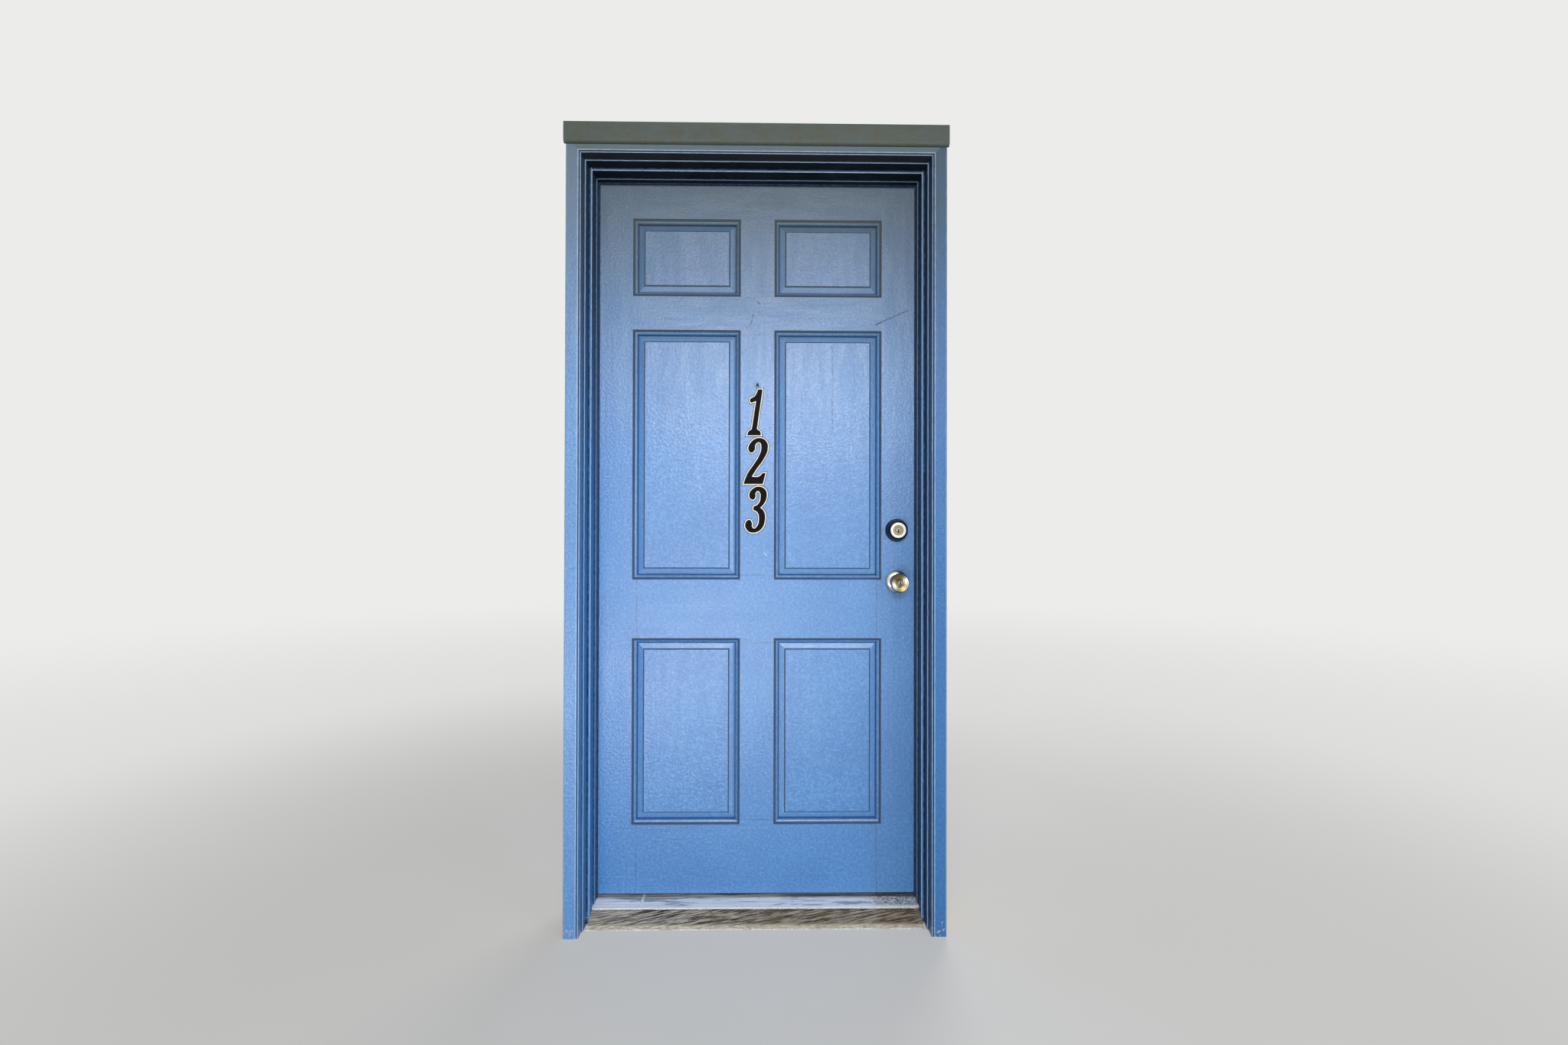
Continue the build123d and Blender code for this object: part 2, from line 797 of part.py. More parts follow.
def lock_pieces(z, width, height, hub):
    """Case and faceplate of a tubular lock whose bolt has the given width and height."""
    case_back = leaf_edge - case_length
    bore_end = lock_x + cross_bore_radius
    plate_back = leaf_edge - faceplate_thickness
    with BuildPart() as case:
        with BuildSketch(Plane(origin=(bore_end - case_slab_width, mid_depth, z), z_dir=(1, 0, 0))):
            Circle(edge_bore_radius - lock_case_fit)
        extrude(amount=plate_back - bore_end + case_slab_width)
        with Locations((case_back, mid_depth, z)):
            Box(
                lock_x + case_slab_reach - case_back,
                case_slab_width,
                case_slab_height,
                align=(Align.MIN, Align.CENTER, Align.CENTER),
            )
        with Locations((plate_back - bolt_length - bolt_fit, mid_depth, z)):
            Box(
                bolt_length + bolt_fit,
                width + 2 * bolt_fit,
                height + 2 * bolt_fit,
                align=(Align.MIN, Align.CENTER, Align.CENTER),
                mode=Mode.SUBTRACT,
            )
        with Locations(across(lock_x, z)):
            Hole(hub)
    with BuildPart() as faceplate:
        extrude(faceplate_outline(z), amount=-faceplate_thickness)
        with Locations((leaf_edge, mid_depth, z)):
            Box(
                2 * (faceplate_thickness + cut_margin),
                width + 2 * bolt_fit,
                height + 2 * bolt_fit,
                mode=Mode.SUBTRACT,
            )
        front = Plane(origin=(leaf_edge, mid_depth, z), x_dir=(0, 1, 0), z_dir=(1, 0, 0))
        lock_plate_screws(front, faceplate_screw_spacing)
    return case, faceplate


def strike_plate(z, width, height, lipped):
    """Strike plate let into the jamb, with a hole for the bolt and a curled lip for a sprung one."""
    with BuildPart() as strike:
        with Locations((rebate_x, mid_depth, z)):
            Box(
                strike_thickness,
                strike_width,
                strike_height,
                align=(Align.MIN, Align.CENTER, Align.CENTER),
            )
        if lipped:
            curl = Plane(origin=(0, 0, z - strike_lip_height / 2))
            with BuildSketch(curl):
                with Locations((rebate_x, mid_depth)):
                    Rectangle(strike_thickness, leaf_thickness - mid_depth, align=(Align.MIN, Align.MIN))
            extrude(amount=strike_lip_height)
            hook = Plane(origin=(rebate_x, leaf_thickness, z), x_dir=(1, 0, 0), z_dir=(0, 1, 0))
            with BuildSketch(hook):
                Rectangle(strike_thickness, strike_lip_height, align=(Align.MIN, Align.CENTER))
            bend = Axis((rebate_x + strike_thickness + strike_lip_radius, leaf_thickness, z), (0, 0, -1))
            revolve(axis=bend, revolution_arc=strike_lip_turn)
        with Locations((rebate_x, mid_depth, z)):
            Box(
                2 * (strike_thickness + cut_margin),
                width + 2 * strike_hole_margin,
                height + 2 * strike_hole_margin,
                mode=Mode.SUBTRACT,
            )
        front = Plane(origin=(rebate_x, mid_depth, z), x_dir=(0, 1, 0), z_dir=(-1, 0, 0))
        lock_plate_screws(front, faceplate_screw_spacing)
    return strike


latch_case, latch_faceplate = lock_pieces(knob_z, latch_width, latch_height, hub_radius)
deadbolt_case, deadbolt_faceplate = lock_pieces(deadbolt_z, deadbolt_width, deadbolt_rise, hub_radius)
save(latch_case, "latch_case")
save(latch_faceplate, "latch_faceplate")
save(deadbolt_case, "deadbolt_case")
save(deadbolt_faceplate, "deadbolt_faceplate")
save(strike_plate(knob_z, latch_width, latch_height, lipped=True), "latch_strike")
save(strike_plate(deadbolt_z, deadbolt_width, deadbolt_rise, lipped=False), "deadbolt_strike")

# Sprung latch bolt: its nose slopes towards the street, the side that meets the strike
bolt_tip = leaf_edge - bolt_set_in
with BuildPart() as latch_bolt:
    with BuildSketch(Plane(origin=(0, 0, knob_z - latch_height / 2))):
        with BuildLine():
            Polyline(
                (bolt_tip - bolt_length, mid_depth - latch_width / 2),
                (bolt_tip - latch_nose, mid_depth - latch_width / 2),
                (bolt_tip, mid_depth + latch_width / 2 - latch_nose_flat),
                (bolt_tip, mid_depth + latch_width / 2),
                (bolt_tip - bolt_length, mid_depth + latch_width / 2),
                close=True,
            )
        make_face()
    extrude(amount=latch_height)
save(latch_bolt, "latch_bolt")

with BuildPart() as deadbolt_bolt:
    with Locations((bolt_tip, mid_depth, deadbolt_z)):
        Box(bolt_length, deadbolt_width, deadbolt_rise, align=(Align.MAX, Align.CENTER, Align.CENTER))
    chamfer(deadbolt_bolt.faces().sort_by(Axis.X).last.edges(), deadbolt_chamfer)
save(deadbolt_bolt, "deadbolt_bolt")


def rose(face_y, outward):
    """Domed rose that covers the cross bore on one face of the leaf."""
    with BuildPart() as plate:
        with BuildSketch(Plane(origin=(lock_x, 0, knob_z))):
            inner = knob_neck_radius + turning_fit
            rim = face_y + outward * trim_rim
            crown = face_y + outward * rose_thickness
            with BuildLine():
                Polyline(
                    (rose_shoulder, crown),
                    (inner, crown),
                    (inner, face_y),
                    (rose_radius, face_y),
                    (rose_radius, rim),
                )
                SagittaArc((rose_radius, rim), (rose_shoulder, crown), -outward * trim_rim)
            make_face()
        revolve(axis=Axis((lock_x, 0, knob_z), (0, 1, 0)))
    return plate


def knob(face_y, outward, centre_radius, centre_depth):
    """Turned knob on one face of the leaf, bored in front for a plug or a button."""

    def out(distance):
        return face_y + outward * distance

    with BuildPart() as turned_knob:
        with BuildSketch(Plane(origin=(lock_x, 0, knob_z))):
            face_floor = knob_projection - knob_face_sink
            centre = centre_radius + turning_fit
            with BuildLine():
                Polyline(
                    (centre, out(knob_projection - centre_depth)),
                    (0, out(knob_projection - centre_depth)),
                    (0, out(-knob_neck_inset)),
                    (knob_neck_radius, out(-knob_neck_inset)),
                    (knob_neck_radius, out(knob_neck_end)),
                )
                SagittaArc(
                    (knob_neck_radius, out(knob_neck_end)),
                    (knob_flare_radius, out(knob_flare_end)),
                    outward * knob_flare_sagitta,
                )
                ThreePointArc(
                    (knob_flare_radius, out(knob_flare_end)),
                    (knob_crown_radius, out(knob_crown_height)),
                    (knob_face_radius, out(knob_projection)),
                )
                Polyline(
                    (knob_face_radius, out(knob_projection)),
                    (knob_boss_radius, out(face_floor)),
                    (knob_boss_radius, out(knob_projection)),
                    (centre, out(knob_projection)),
                    (centre, out(knob_projection - centre_depth)),
                )
            make_face()
        revolve(axis=Axis((lock_x, 0, knob_z), (0, 1, 0)))
        with Locations((lock_x, out(-knob_neck_inset), knob_z)):
            Box(
                spindle_side,
                2 * spindle_grip,
                spindle_side,
                mode=Mode.SUBTRACT,
            )
    return turned_knob


save(rose(0, -1), "outside_rose")
save(rose(leaf_thickness, 1), "inside_rose")
save(knob(0, -1, key_plug_radius, key_plug_length), "outside_knob")
save(knob(leaf_thickness, 1, button_radius, key_plug_length), "inside_knob")

with BuildPart() as knob_spindle:
    with Locations((lock_x, mid_depth, knob_z)):
        Box(
            spindle_side,
            leaf_thickness - 2 * knob_neck_inset + 2 * spindle_grip,
            spindle_side,
        )
save(knob_spindle, "knob_spindle")


def key_plug(x, z, front_y, radius, length, tail):
    """Key plug with its keyway, and a flat tailpiece that reaches back to tail, if it has one."""
    with BuildPart() as plug:
        with Locations(across(x, z, front_y)):
            Cylinder(radius, length, align=(Align.CENTER, Align.CENTER, Align.MAX))
            Box(keyway_width, keyway_height, 2 * keyway_depth, mode=Mode.SUBTRACT)
        if tail is not None:
            reach = tail - front_y - length
            with Locations((x, front_y + length, z)):
                Box(
                    tailpiece_thickness,
                    reach,
                    tailpiece_width,
                    align=(Align.CENTER, Align.MIN, Align.CENTER),
                )
    return plug


knob_plug_front = -knob_projection + key_plug_sink
save(
    key_plug(lock_x, knob_z, knob_plug_front, key_plug_radius, key_plug_length - key_plug_sink, None),
    "knob_key_plug",
)

# Turn button in the inside knob
with BuildPart() as lock_button:
    button_face = leaf_thickness + knob_projection
    button_back = button_face - key_plug_length
    with Locations(across(lock_x, knob_z, button_back)):
        Cylinder(button_radius, key_plug_length, align=(Align.CENTER, Align.CENTER, Align.MAX))
    with Locations((lock_x, button_face, knob_z)):
        Box(
            button_grip_thickness,
            button_grip_height,
            2 * button_radius - button_grip_thickness / 2,
            align=(Align.CENTER, Align.MIN, Align.CENTER),
        )
save(lock_button, "lock_button")

# Deadbolt trim outside: a tapered guard collar round the key cylinder
with BuildPart() as deadbolt_collar:
    bore = cylinder_radius + lock_case_fit
    turned(
        [
            (bore, 0),
            (collar_radius, 0),
            (collar_radius, -trim_rim),
            (collar_face_radius, -collar_height),
            (bore, -collar_height),
        ],
        lock_x,
        collar_z,
    )
    outer_edge = deadbolt_collar.faces().sort_by(Axis.Y).first.edges().sort_by(SortBy.LENGTH).last
    fillet(outer_edge, collar_edge_radius)
save(deadbolt_collar, "deadbolt_collar")

cylinder_front = -cylinder_projection
with BuildPart() as deadbolt_cylinder:
    turned(
        [
            (0, cylinder_front + cylinder_rim_depth),
            (0, cylinder_front + cylinder_length),
            (cylinder_radius, cylinder_front + cylinder_length),
            (cylinder_radius, cylinder_front + cylinder_rim_depth),
            (cylinder_radius - cylinder_rim_depth, cylinder_front),
            (cylinder_radius - cylinder_rim, cylinder_front),
            (cylinder_radius - cylinder_rim, cylinder_front + cylinder_rim_depth),
        ],
        lock_x,
        collar_z,
    )
    with Locations(across(lock_x, deadbolt_z)):
        Hole(deadbolt_plug_radius + turning_fit)
save(deadbolt_cylinder, "deadbolt_cylinder")

tail_reach = leaf_thickness - tailpiece_end
save(
    key_plug(lock_x, deadbolt_z, cylinder_front, deadbolt_plug_radius, cylinder_length, tail_reach),
    "deadbolt_key_plug",
)

# Deadbolt trim inside: a plate and the thumb turn that slips over the tailpiece
with BuildPart() as thumb_plate:
    inner = thumb_stem_radius + turning_fit
    turned(
        [
            (inner, leaf_thickness),
            (collar_radius, leaf_thickness),
            (collar_radius, leaf_thickness + trim_rim),
            (collar_face_radius, leaf_thickness + thumb_plate_thickness),
            (inner, leaf_thickness + thumb_plate_thickness),
        ],
        lock_x,
        deadbolt_z,
    )
save(thumb_plate, "thumb_plate")

with BuildPart() as thumb_turn:
    stem_end = leaf_thickness + thumb_plate_thickness + thumb_grip_gap
    stem_start = leaf_thickness - thumb_stem_inset
    with Locations(across(lock_x, deadbolt_z, stem_start)):
        Cylinder(thumb_stem_radius, stem_end - stem_start, align=(Align.CENTER, Align.CENTER, Align.MAX))
    with BuildSketch(across(lock_x, deadbolt_z, stem_end)):
        SlotOverall(thumb_grip_length, thumb_grip_width, rotation=90)
    with BuildSketch(across(lock_x, deadbolt_z, stem_end + thumb_grip_height)):
        SlotOverall(thumb_grip_length, thumb_grip_crest, rotation=90)
    loft()
    slot_depth = tail_reach - stem_start + thumb_grip_gap
    with Locations((lock_x, stem_start, deadbolt_z)):
        Box(
            tailpiece_thickness + lock_case_fit,
            slot_depth,
            tailpiece_width + lock_case_fit,
            align=(Align.CENTER, Align.MIN, Align.CENTER),
            mode=Mode.SUBTRACT,
        )
save(thumb_turn, "thumb_turn")

# Door viewer: two flanged barrels that screw into each other, with the lens in the outer one
viewer_outer_radius = viewer_bore_radius - viewer_fit
viewer_inner_radius = viewer_outer_radius - viewer_wall
viewer_joint = leaf_thickness - viewer_overlap
with BuildPart() as viewer_outer_barrel:
    turned(
        [
            (viewer_inner_radius, -viewer_flange_thickness),
            (viewer_flange_radius - viewer_wall, -viewer_flange_thickness),
            (viewer_flange_radius, -viewer_flange_thickness / 2),
            (viewer_flange_radius, 0),
            (viewer_outer_radius, 0),
            (viewer_outer_radius, leaf_thickness - viewer_flange_thickness),
            (viewer_inner_radius, leaf_thickness - viewer_flange_thickness),
        ],
        0,
        viewer_z,
    )
save(viewer_outer_barrel, "viewer_outer_barrel")

with BuildPart() as viewer_inner_barrel:
    sleeve = viewer_inner_radius - viewer_fit
    turned(
        [
            (sleeve - viewer_wall, viewer_joint),
            (sleeve, viewer_joint),
            (sleeve, leaf_thickness),
            (viewer_flange_radius, leaf_thickness),
            (viewer_flange_radius, leaf_thickness + viewer_flange_thickness),
            (sleeve - viewer_wall, leaf_thickness + viewer_flange_thickness),
        ],
        0,
        viewer_z,
    )
save(viewer_inner_barrel, "viewer_inner_barrel")

with BuildPart() as viewer_lens:
    with BuildSketch(Plane(origin=(0, 0, viewer_z))):
        with BuildLine():
            Polyline(
                (viewer_inner_radius, 0),
                (viewer_inner_radius, viewer_lens_thickness),
                (0, viewer_lens_thickness),
                (0, -viewer_flange_thickness / 2),
            )
            lens_front = -viewer_flange_thickness / 2
            SagittaArc((0, lens_front), (viewer_inner_radius, 0), viewer_lens_bulge)
        make_face()
    revolve(axis=Axis((0, 0, viewer_z), (0, 1, 0)))
save(viewer_lens, "viewer_lens")
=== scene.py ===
"""Looks of a panelled entrance door in its frame: brushed enamel, bare timber, lock metals and numerals.

Metres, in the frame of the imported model: X across the doorway, +Y into the house, +Z up.
Sizes are written in millimetres where they name a real size, and turned to metres by MM.
"""
import math

import bmesh
import bpy
from mathutils import Euler, Matrix, Vector


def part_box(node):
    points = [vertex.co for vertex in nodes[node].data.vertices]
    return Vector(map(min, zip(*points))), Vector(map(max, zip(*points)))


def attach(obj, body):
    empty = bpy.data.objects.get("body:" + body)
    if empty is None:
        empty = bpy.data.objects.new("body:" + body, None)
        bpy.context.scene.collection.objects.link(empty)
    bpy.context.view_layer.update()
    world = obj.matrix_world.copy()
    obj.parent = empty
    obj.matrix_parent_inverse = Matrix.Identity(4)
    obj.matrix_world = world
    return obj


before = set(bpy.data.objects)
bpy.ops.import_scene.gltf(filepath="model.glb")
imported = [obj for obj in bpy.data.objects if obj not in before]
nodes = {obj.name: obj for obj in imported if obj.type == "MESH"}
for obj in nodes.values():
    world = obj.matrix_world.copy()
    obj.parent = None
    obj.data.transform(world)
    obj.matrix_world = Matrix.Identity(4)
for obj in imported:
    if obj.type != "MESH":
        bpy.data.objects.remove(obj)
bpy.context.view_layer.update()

MM = 0.001

# Camera, from the photograph's own perspective: pixels, metres and degrees
PHOTO_WIDTH = 2048
FOCAL_PX = 907
SENSOR_MM = 36.0
EYE = Vector((0.028, -1.956, 1.074))
YAW_RIGHT = 0.83
PITCH_UP = 0.35
ROLL_LEFT = 0.13
SHIFT_PX = 9

# Faces of the frame and the leaf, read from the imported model
JAMB_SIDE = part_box("strike_jamb")[1].x
JAMB_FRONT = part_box("strike_jamb")[0].y
JAMB_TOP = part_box("head_jamb")[1].z
LEAF_LOW, LEAF_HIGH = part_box("hinge_stile")[0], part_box("lock_stile")[1]
LEAF_THICK = LEAF_HIGH.y
CASING_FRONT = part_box("left_casing")[0].y
# Steps of the frame, seen across it: the jamb's face, the screen stop's and the door stop's
SCREEN_STOP = 8 * MM
DOOR_STOP_FRONT = -28 * MM
JAMB_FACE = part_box("strike_jamb")[0].x
STOP_FACES = (JAMB_FACE - SCREEN_STOP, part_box("strike_stop")[0].x)
HEAD_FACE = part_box("head_jamb")[0].z
HEAD_FACES = (HEAD_FACE - SCREEN_STOP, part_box("head_stop")[0].z)
STOP_FRONTS = (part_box("strike_stop")[0].y, DOOR_STOP_FRONT)
# The moulding, from the doorway outwards: its bead, its quirk, and its flat band
BEAD, QUIRK, BAND, BAND_END = 6.1 * MM, 9.6 * MM, 12.2 * MM, 43.2 * MM
# How far the panels' raised fields lie behind the face of the leaf, in mm
FIELD_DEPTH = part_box("middle_left_panel")[0].y / MM
SILL_FRONT, SADDLE_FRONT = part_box("wood_sill")[0].y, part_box("threshold_saddle")[0].y
# Dust and painted shade begin at this height, and are whole just above the foot of the head board
FILM_FOOT, FILM_TOP = 1.25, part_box("head_board")[0].z + 20 * MM
# Joints in the leaf: the stiles' inner edges, and where the muntins meet the rails
STILE_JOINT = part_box("lock_stile")[0].x
MUNTIN_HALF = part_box("middle_muntin")[1].x
RAIL_EDGES = (
    ("top_rail", 0), ("frieze_rail", 1), ("frieze_rail", 0),
    ("lock_rail", 1), ("lock_rail", 0), ("bottom_rail", 1),
)
MUNTIN_ENDS = [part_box(rail)[end].z for rail, end in RAIL_EDGES]


def axis_of(name):
    """Where a turned piece's axis stands on the door: its x and z."""
    low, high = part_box(name)
    return (low.x + high.x) / 2, (low.z + high.z) / 2


KNOB_AXIS, CYLINDER_AXIS = axis_of("outside_knob"), axis_of("deadbolt_cylinder")
KNOB_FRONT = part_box("outside_knob")[0].y


def colour(hex_code):
    """Linear RGBA of an sRGB hex code."""
    channels = [int(hex_code[i : i + 2], 16) / 255 for i in (1, 3, 5)]
    linear = [c / 12.92 if c <= 0.04045 else ((c + 0.055) / 1.055) ** 2.4 for c in channels]
    return (*linear, 1.0)


def add(tree, kind, inputs=None, **settings):
    """Add a node, set its properties, and fill or link its inputs."""
    made = tree.nodes.new(kind)
    for name, value in settings.items():
        setattr(made, name, value)
    for name, value in (inputs or {}).items():
        socket = made.inputs[name]
        if isinstance(value, bpy.types.NodeSocket):
            tree.links.new(value, socket)
        else:
            socket.default_value = value
    return made


def material(name):
    """An empty node material with its output, and the place of each shaded point."""
    made = bpy.data.materials.new(name)
    made.use_nodes = True
    made.node_tree.nodes.clear()
    place = add(made.node_tree, "ShaderNodeTexCoord").outputs["Object"]
    return made, made.node_tree, place


def noise(tree, place, size_mm, stretch=(1, 1, 1), detail=3.0, roughness=0.55):
    """Noise with cells about size_mm across, drawn out along an axis where stretch is above 1."""
    scale = tuple(1 / (size_mm * MM * s) for s in stretch)
    mapped = add(tree, "ShaderNodeMapping", {"Vector": place, "Scale": scale}).outputs[0]
    return add(
        tree,
        "ShaderNodeTexNoise",
        {"Vector": mapped, "Scale": 1.0, "Detail": detail, "Roughness": roughness},
    ).outputs["Fac"]


def ramp(tree, value, low, high, start=0.0, end=1.0):
    """Smooth step of a value from start at low to end at high."""
    return add(
        tree,
        "ShaderNodeMapRange",
        {"Value": value, "From Min": low, "From Max": high, "To Min": start, "To Max": end},
        interpolation_type="SMOOTHSTEP",
    ).outputs[0]


def maths(tree, operation, a, b=0.0):
    """One step of arithmetic."""
    return add(tree, "ShaderNodeMath", {0: a, 1: b}, operation=operation).outputs[0]


def times(tree, *values):
    """Product of masks and shares."""
    product = values[0]
    for value in values[1:]:
        product = maths(tree, "MULTIPLY", product, value)
    return product


def plus(tree, total, value, share):
    """A total with a share of a value added."""
    return maths(tree, "ADD", total, times(tree, value, share))


def vector(tree, operation, a, b=(0, 0, 0), out="Vector"):
    """One step of vector arithmetic; out is Value where the result is a number."""
    return add(tree, "ShaderNodeVectorMath", {0: a, 1: b}, operation=operation).outputs[out]


def blend(tree, factor, a, b):
    """Mix two colours."""
    return add(tree, "ShaderNodeMix", {0: factor, 6: a, 7: b}, data_type="RGBA").outputs[2]


def coat(tree, base, hex_code, *masks):
    """Lay a colour over a base, as far as every mask lets it through."""
    return blend(tree, times(tree, *masks), base, colour(hex_code))


def split(tree, place):
    """The three coordinates of a point."""
    parts = add(tree, "ShaderNodeSeparateXYZ", {0: place}).outputs
    return parts[0], parts[1], parts[2]


def joined(tree, x, y, z=0.0):
    """A point from its three coordinates."""
    return add(tree, "ShaderNodeCombineXYZ", {0: x, 1: y, 2: z}).outputs[0]


def facing(tree):
    """Which way a face of the object looks: the three parts of its normal, in the object's own frame."""
    return split(tree, add(tree, "ShaderNodeTexCoord").outputs["Normal"])


def finish_material(made, tree, base, roughness, height=None, depth_mm=0.0, **constants):
    """Principled surface with its bump, and constants set on the shader's own sockets."""
    shader = add(tree, "ShaderNodeBsdfPrincipled", {"Base Color": base, "Roughness": roughness})
    for name, value in constants.items():
        shader.inputs[name.replace("_", " ")].default_value = value
    if height is not None:
        bump = add(tree, "ShaderNodeBump", {"Height": height, "Distance": depth_mm * MM, "Strength": 1.0})
        tree.links.new(bump.outputs[0], shader.inputs["Normal"])
    out = add(tree, "ShaderNodeOutputMaterial")
    tree.links.new(shader.outputs[0], out.inputs[0])
    return made


def open_group(name, kind, given, result):
    """A node group with its input sockets and its one output socket, each by name and type."""
    group = bpy.data.node_groups.new(name, kind)
    for socket, socket_type in given:
        group.interface.new_socket(socket, in_out="INPUT", socket_type=socket_type)
    group.interface.new_socket(result[0], in_out="OUTPUT", socket_type=result[1])
    return group, add(group, "NodeGroupInput").outputs


def mark_group():
    """Mask of a straight scratch or crack on the face of the door, between two points."""
    group, given = open_group(
        "Scratch between two points",
        "ShaderNodeTree",
        (
            ("Place", "NodeSocketVector"),
            ("Start", "NodeSocketVector"),
            ("Run", "NodeSocketVector"),
            ("Half width", "NodeSocketFloat"),
            ("Break up", "NodeSocketFloat"),
        ),
        ("Mask", "NodeSocketFloat"),
    )
    flat = vector(group, "MULTIPLY", given["Place"], (1, 0, 1))
    away = vector(group, "SUBTRACT", flat, given["Start"])
    along = vector(group, "DOT_PRODUCT", away, given["Run"], out="Value")
    whole = vector(group, "DOT_PRODUCT", given["Run"], given["Run"], out="Value")
    share = add(group, "ShaderNodeMath", {0: along, 1: whole}, operation="DIVIDE", use_clamp=True)
    foot = add(
        group, "ShaderNodeVectorMath", {0: given["Run"], "Scale": share.outputs[0]}, operation="SCALE"
    )
    gap = vector(group, "DISTANCE", away, foot.outputs[0], out="Value")
    wander = noise(group, given["Place"], 6.0, detail=2.0)
    width = times(group, given["Half width"], ramp(group, wander, 0.3, 0.7, 0.4, 1.6))
    inside = add(
        group,
        "ShaderNodeMapRange",
        {"Value": gap, "From Min": 0.0, "From Max": width, "To Min": 1.0, "To Max": 0.0},
    ).outputs[0]
    broken = noise(group, given["Place"], 11.0, detail=3.0)
    kept = ramp(group, maths(group, "SUBTRACT", broken, given["Break up"]), -0.06, 0.06)
    out = add(group, "NodeGroupOutput")
    group.links.new(times(group, inside, kept), out.inputs[0])
    return group


SCRATCH = mark_group()


def marks(tree, place, lines):
    """Largest of several scratch masks; each line is start x z, end x z, half width and break-up."""
    total = None
    for start, end, half_width_mm, break_up in lines:
        start_m = Vector((start[0], 0, start[1])) * MM
        run = Vector((end[0], 0, end[1])) * MM - start_m
        line = {"Place": place, "Start": start_m, "Run": run}
        sizes = {"Half width": half_width_mm * MM, "Break up": break_up}
        mask = add(tree, "ShaderNodeGroup", {**line, **sizes}, node_tree=SCRATCH).outputs[0]
        total = mask if total is None else maths(tree, "MAXIMUM", total, mask)
    return total


# Marks on the door, in millimetres across and up: dark ones cut to the undercoat, pale ones are scuffs
DARK_MARKS = [
    ((335, 1647), (428, 1688), 2.1, 0.28),
    ((335, 1646), (348, 1651), 3.2, 0.30),
    ((211, 1585), (213, 1352), 0.9, 0.40),
    ((-1, 1708), (6, 1703), 2.4, 0.36),
    ((-12, 1676), (-18, 1648), 2.2, 0.46),
    ((-18, 1648), (-30, 1634), 1.6, 0.46),
]
PALE_MARKS = [
    ((-178, 1290), (-160, 1178), 0.9, 0.50),
    ((-368, 1985), (-378, 1905), 1.2, 0.52),
    ((-352, 2010), (-372, 1962), 0.9, 0.50),
    ((12, 1010), (34, 985), 1.2, 0.52),
]


def band(tree, value, low_mm, high_mm):
    """Mask of a value between two sizes in millimetres, with soft ends."""
    soft = 0.3 * (high_mm - low_mm)
    rise = ramp(tree, value, low_mm * MM, (low_mm + soft) * MM)
    fall = ramp(tree, value, high_mm * MM, (high_mm - soft) * MM)
    return times(tree, rise, fall)


def near_line(tree, across, y, edge, depth, reach_mm):
    """Mask of a line along the frame: 1 at the line, 0 at reach_mm from it."""
    off = maths(tree, "SUBTRACT", across, edge)
    down = maths(tree, "SUBTRACT", y, depth)
    gap = vector(tree, "LENGTH", joined(tree, off, down), out="Value")
    return ramp(tree, gap, reach_mm * MM, 0.4 * reach_mm * MM)


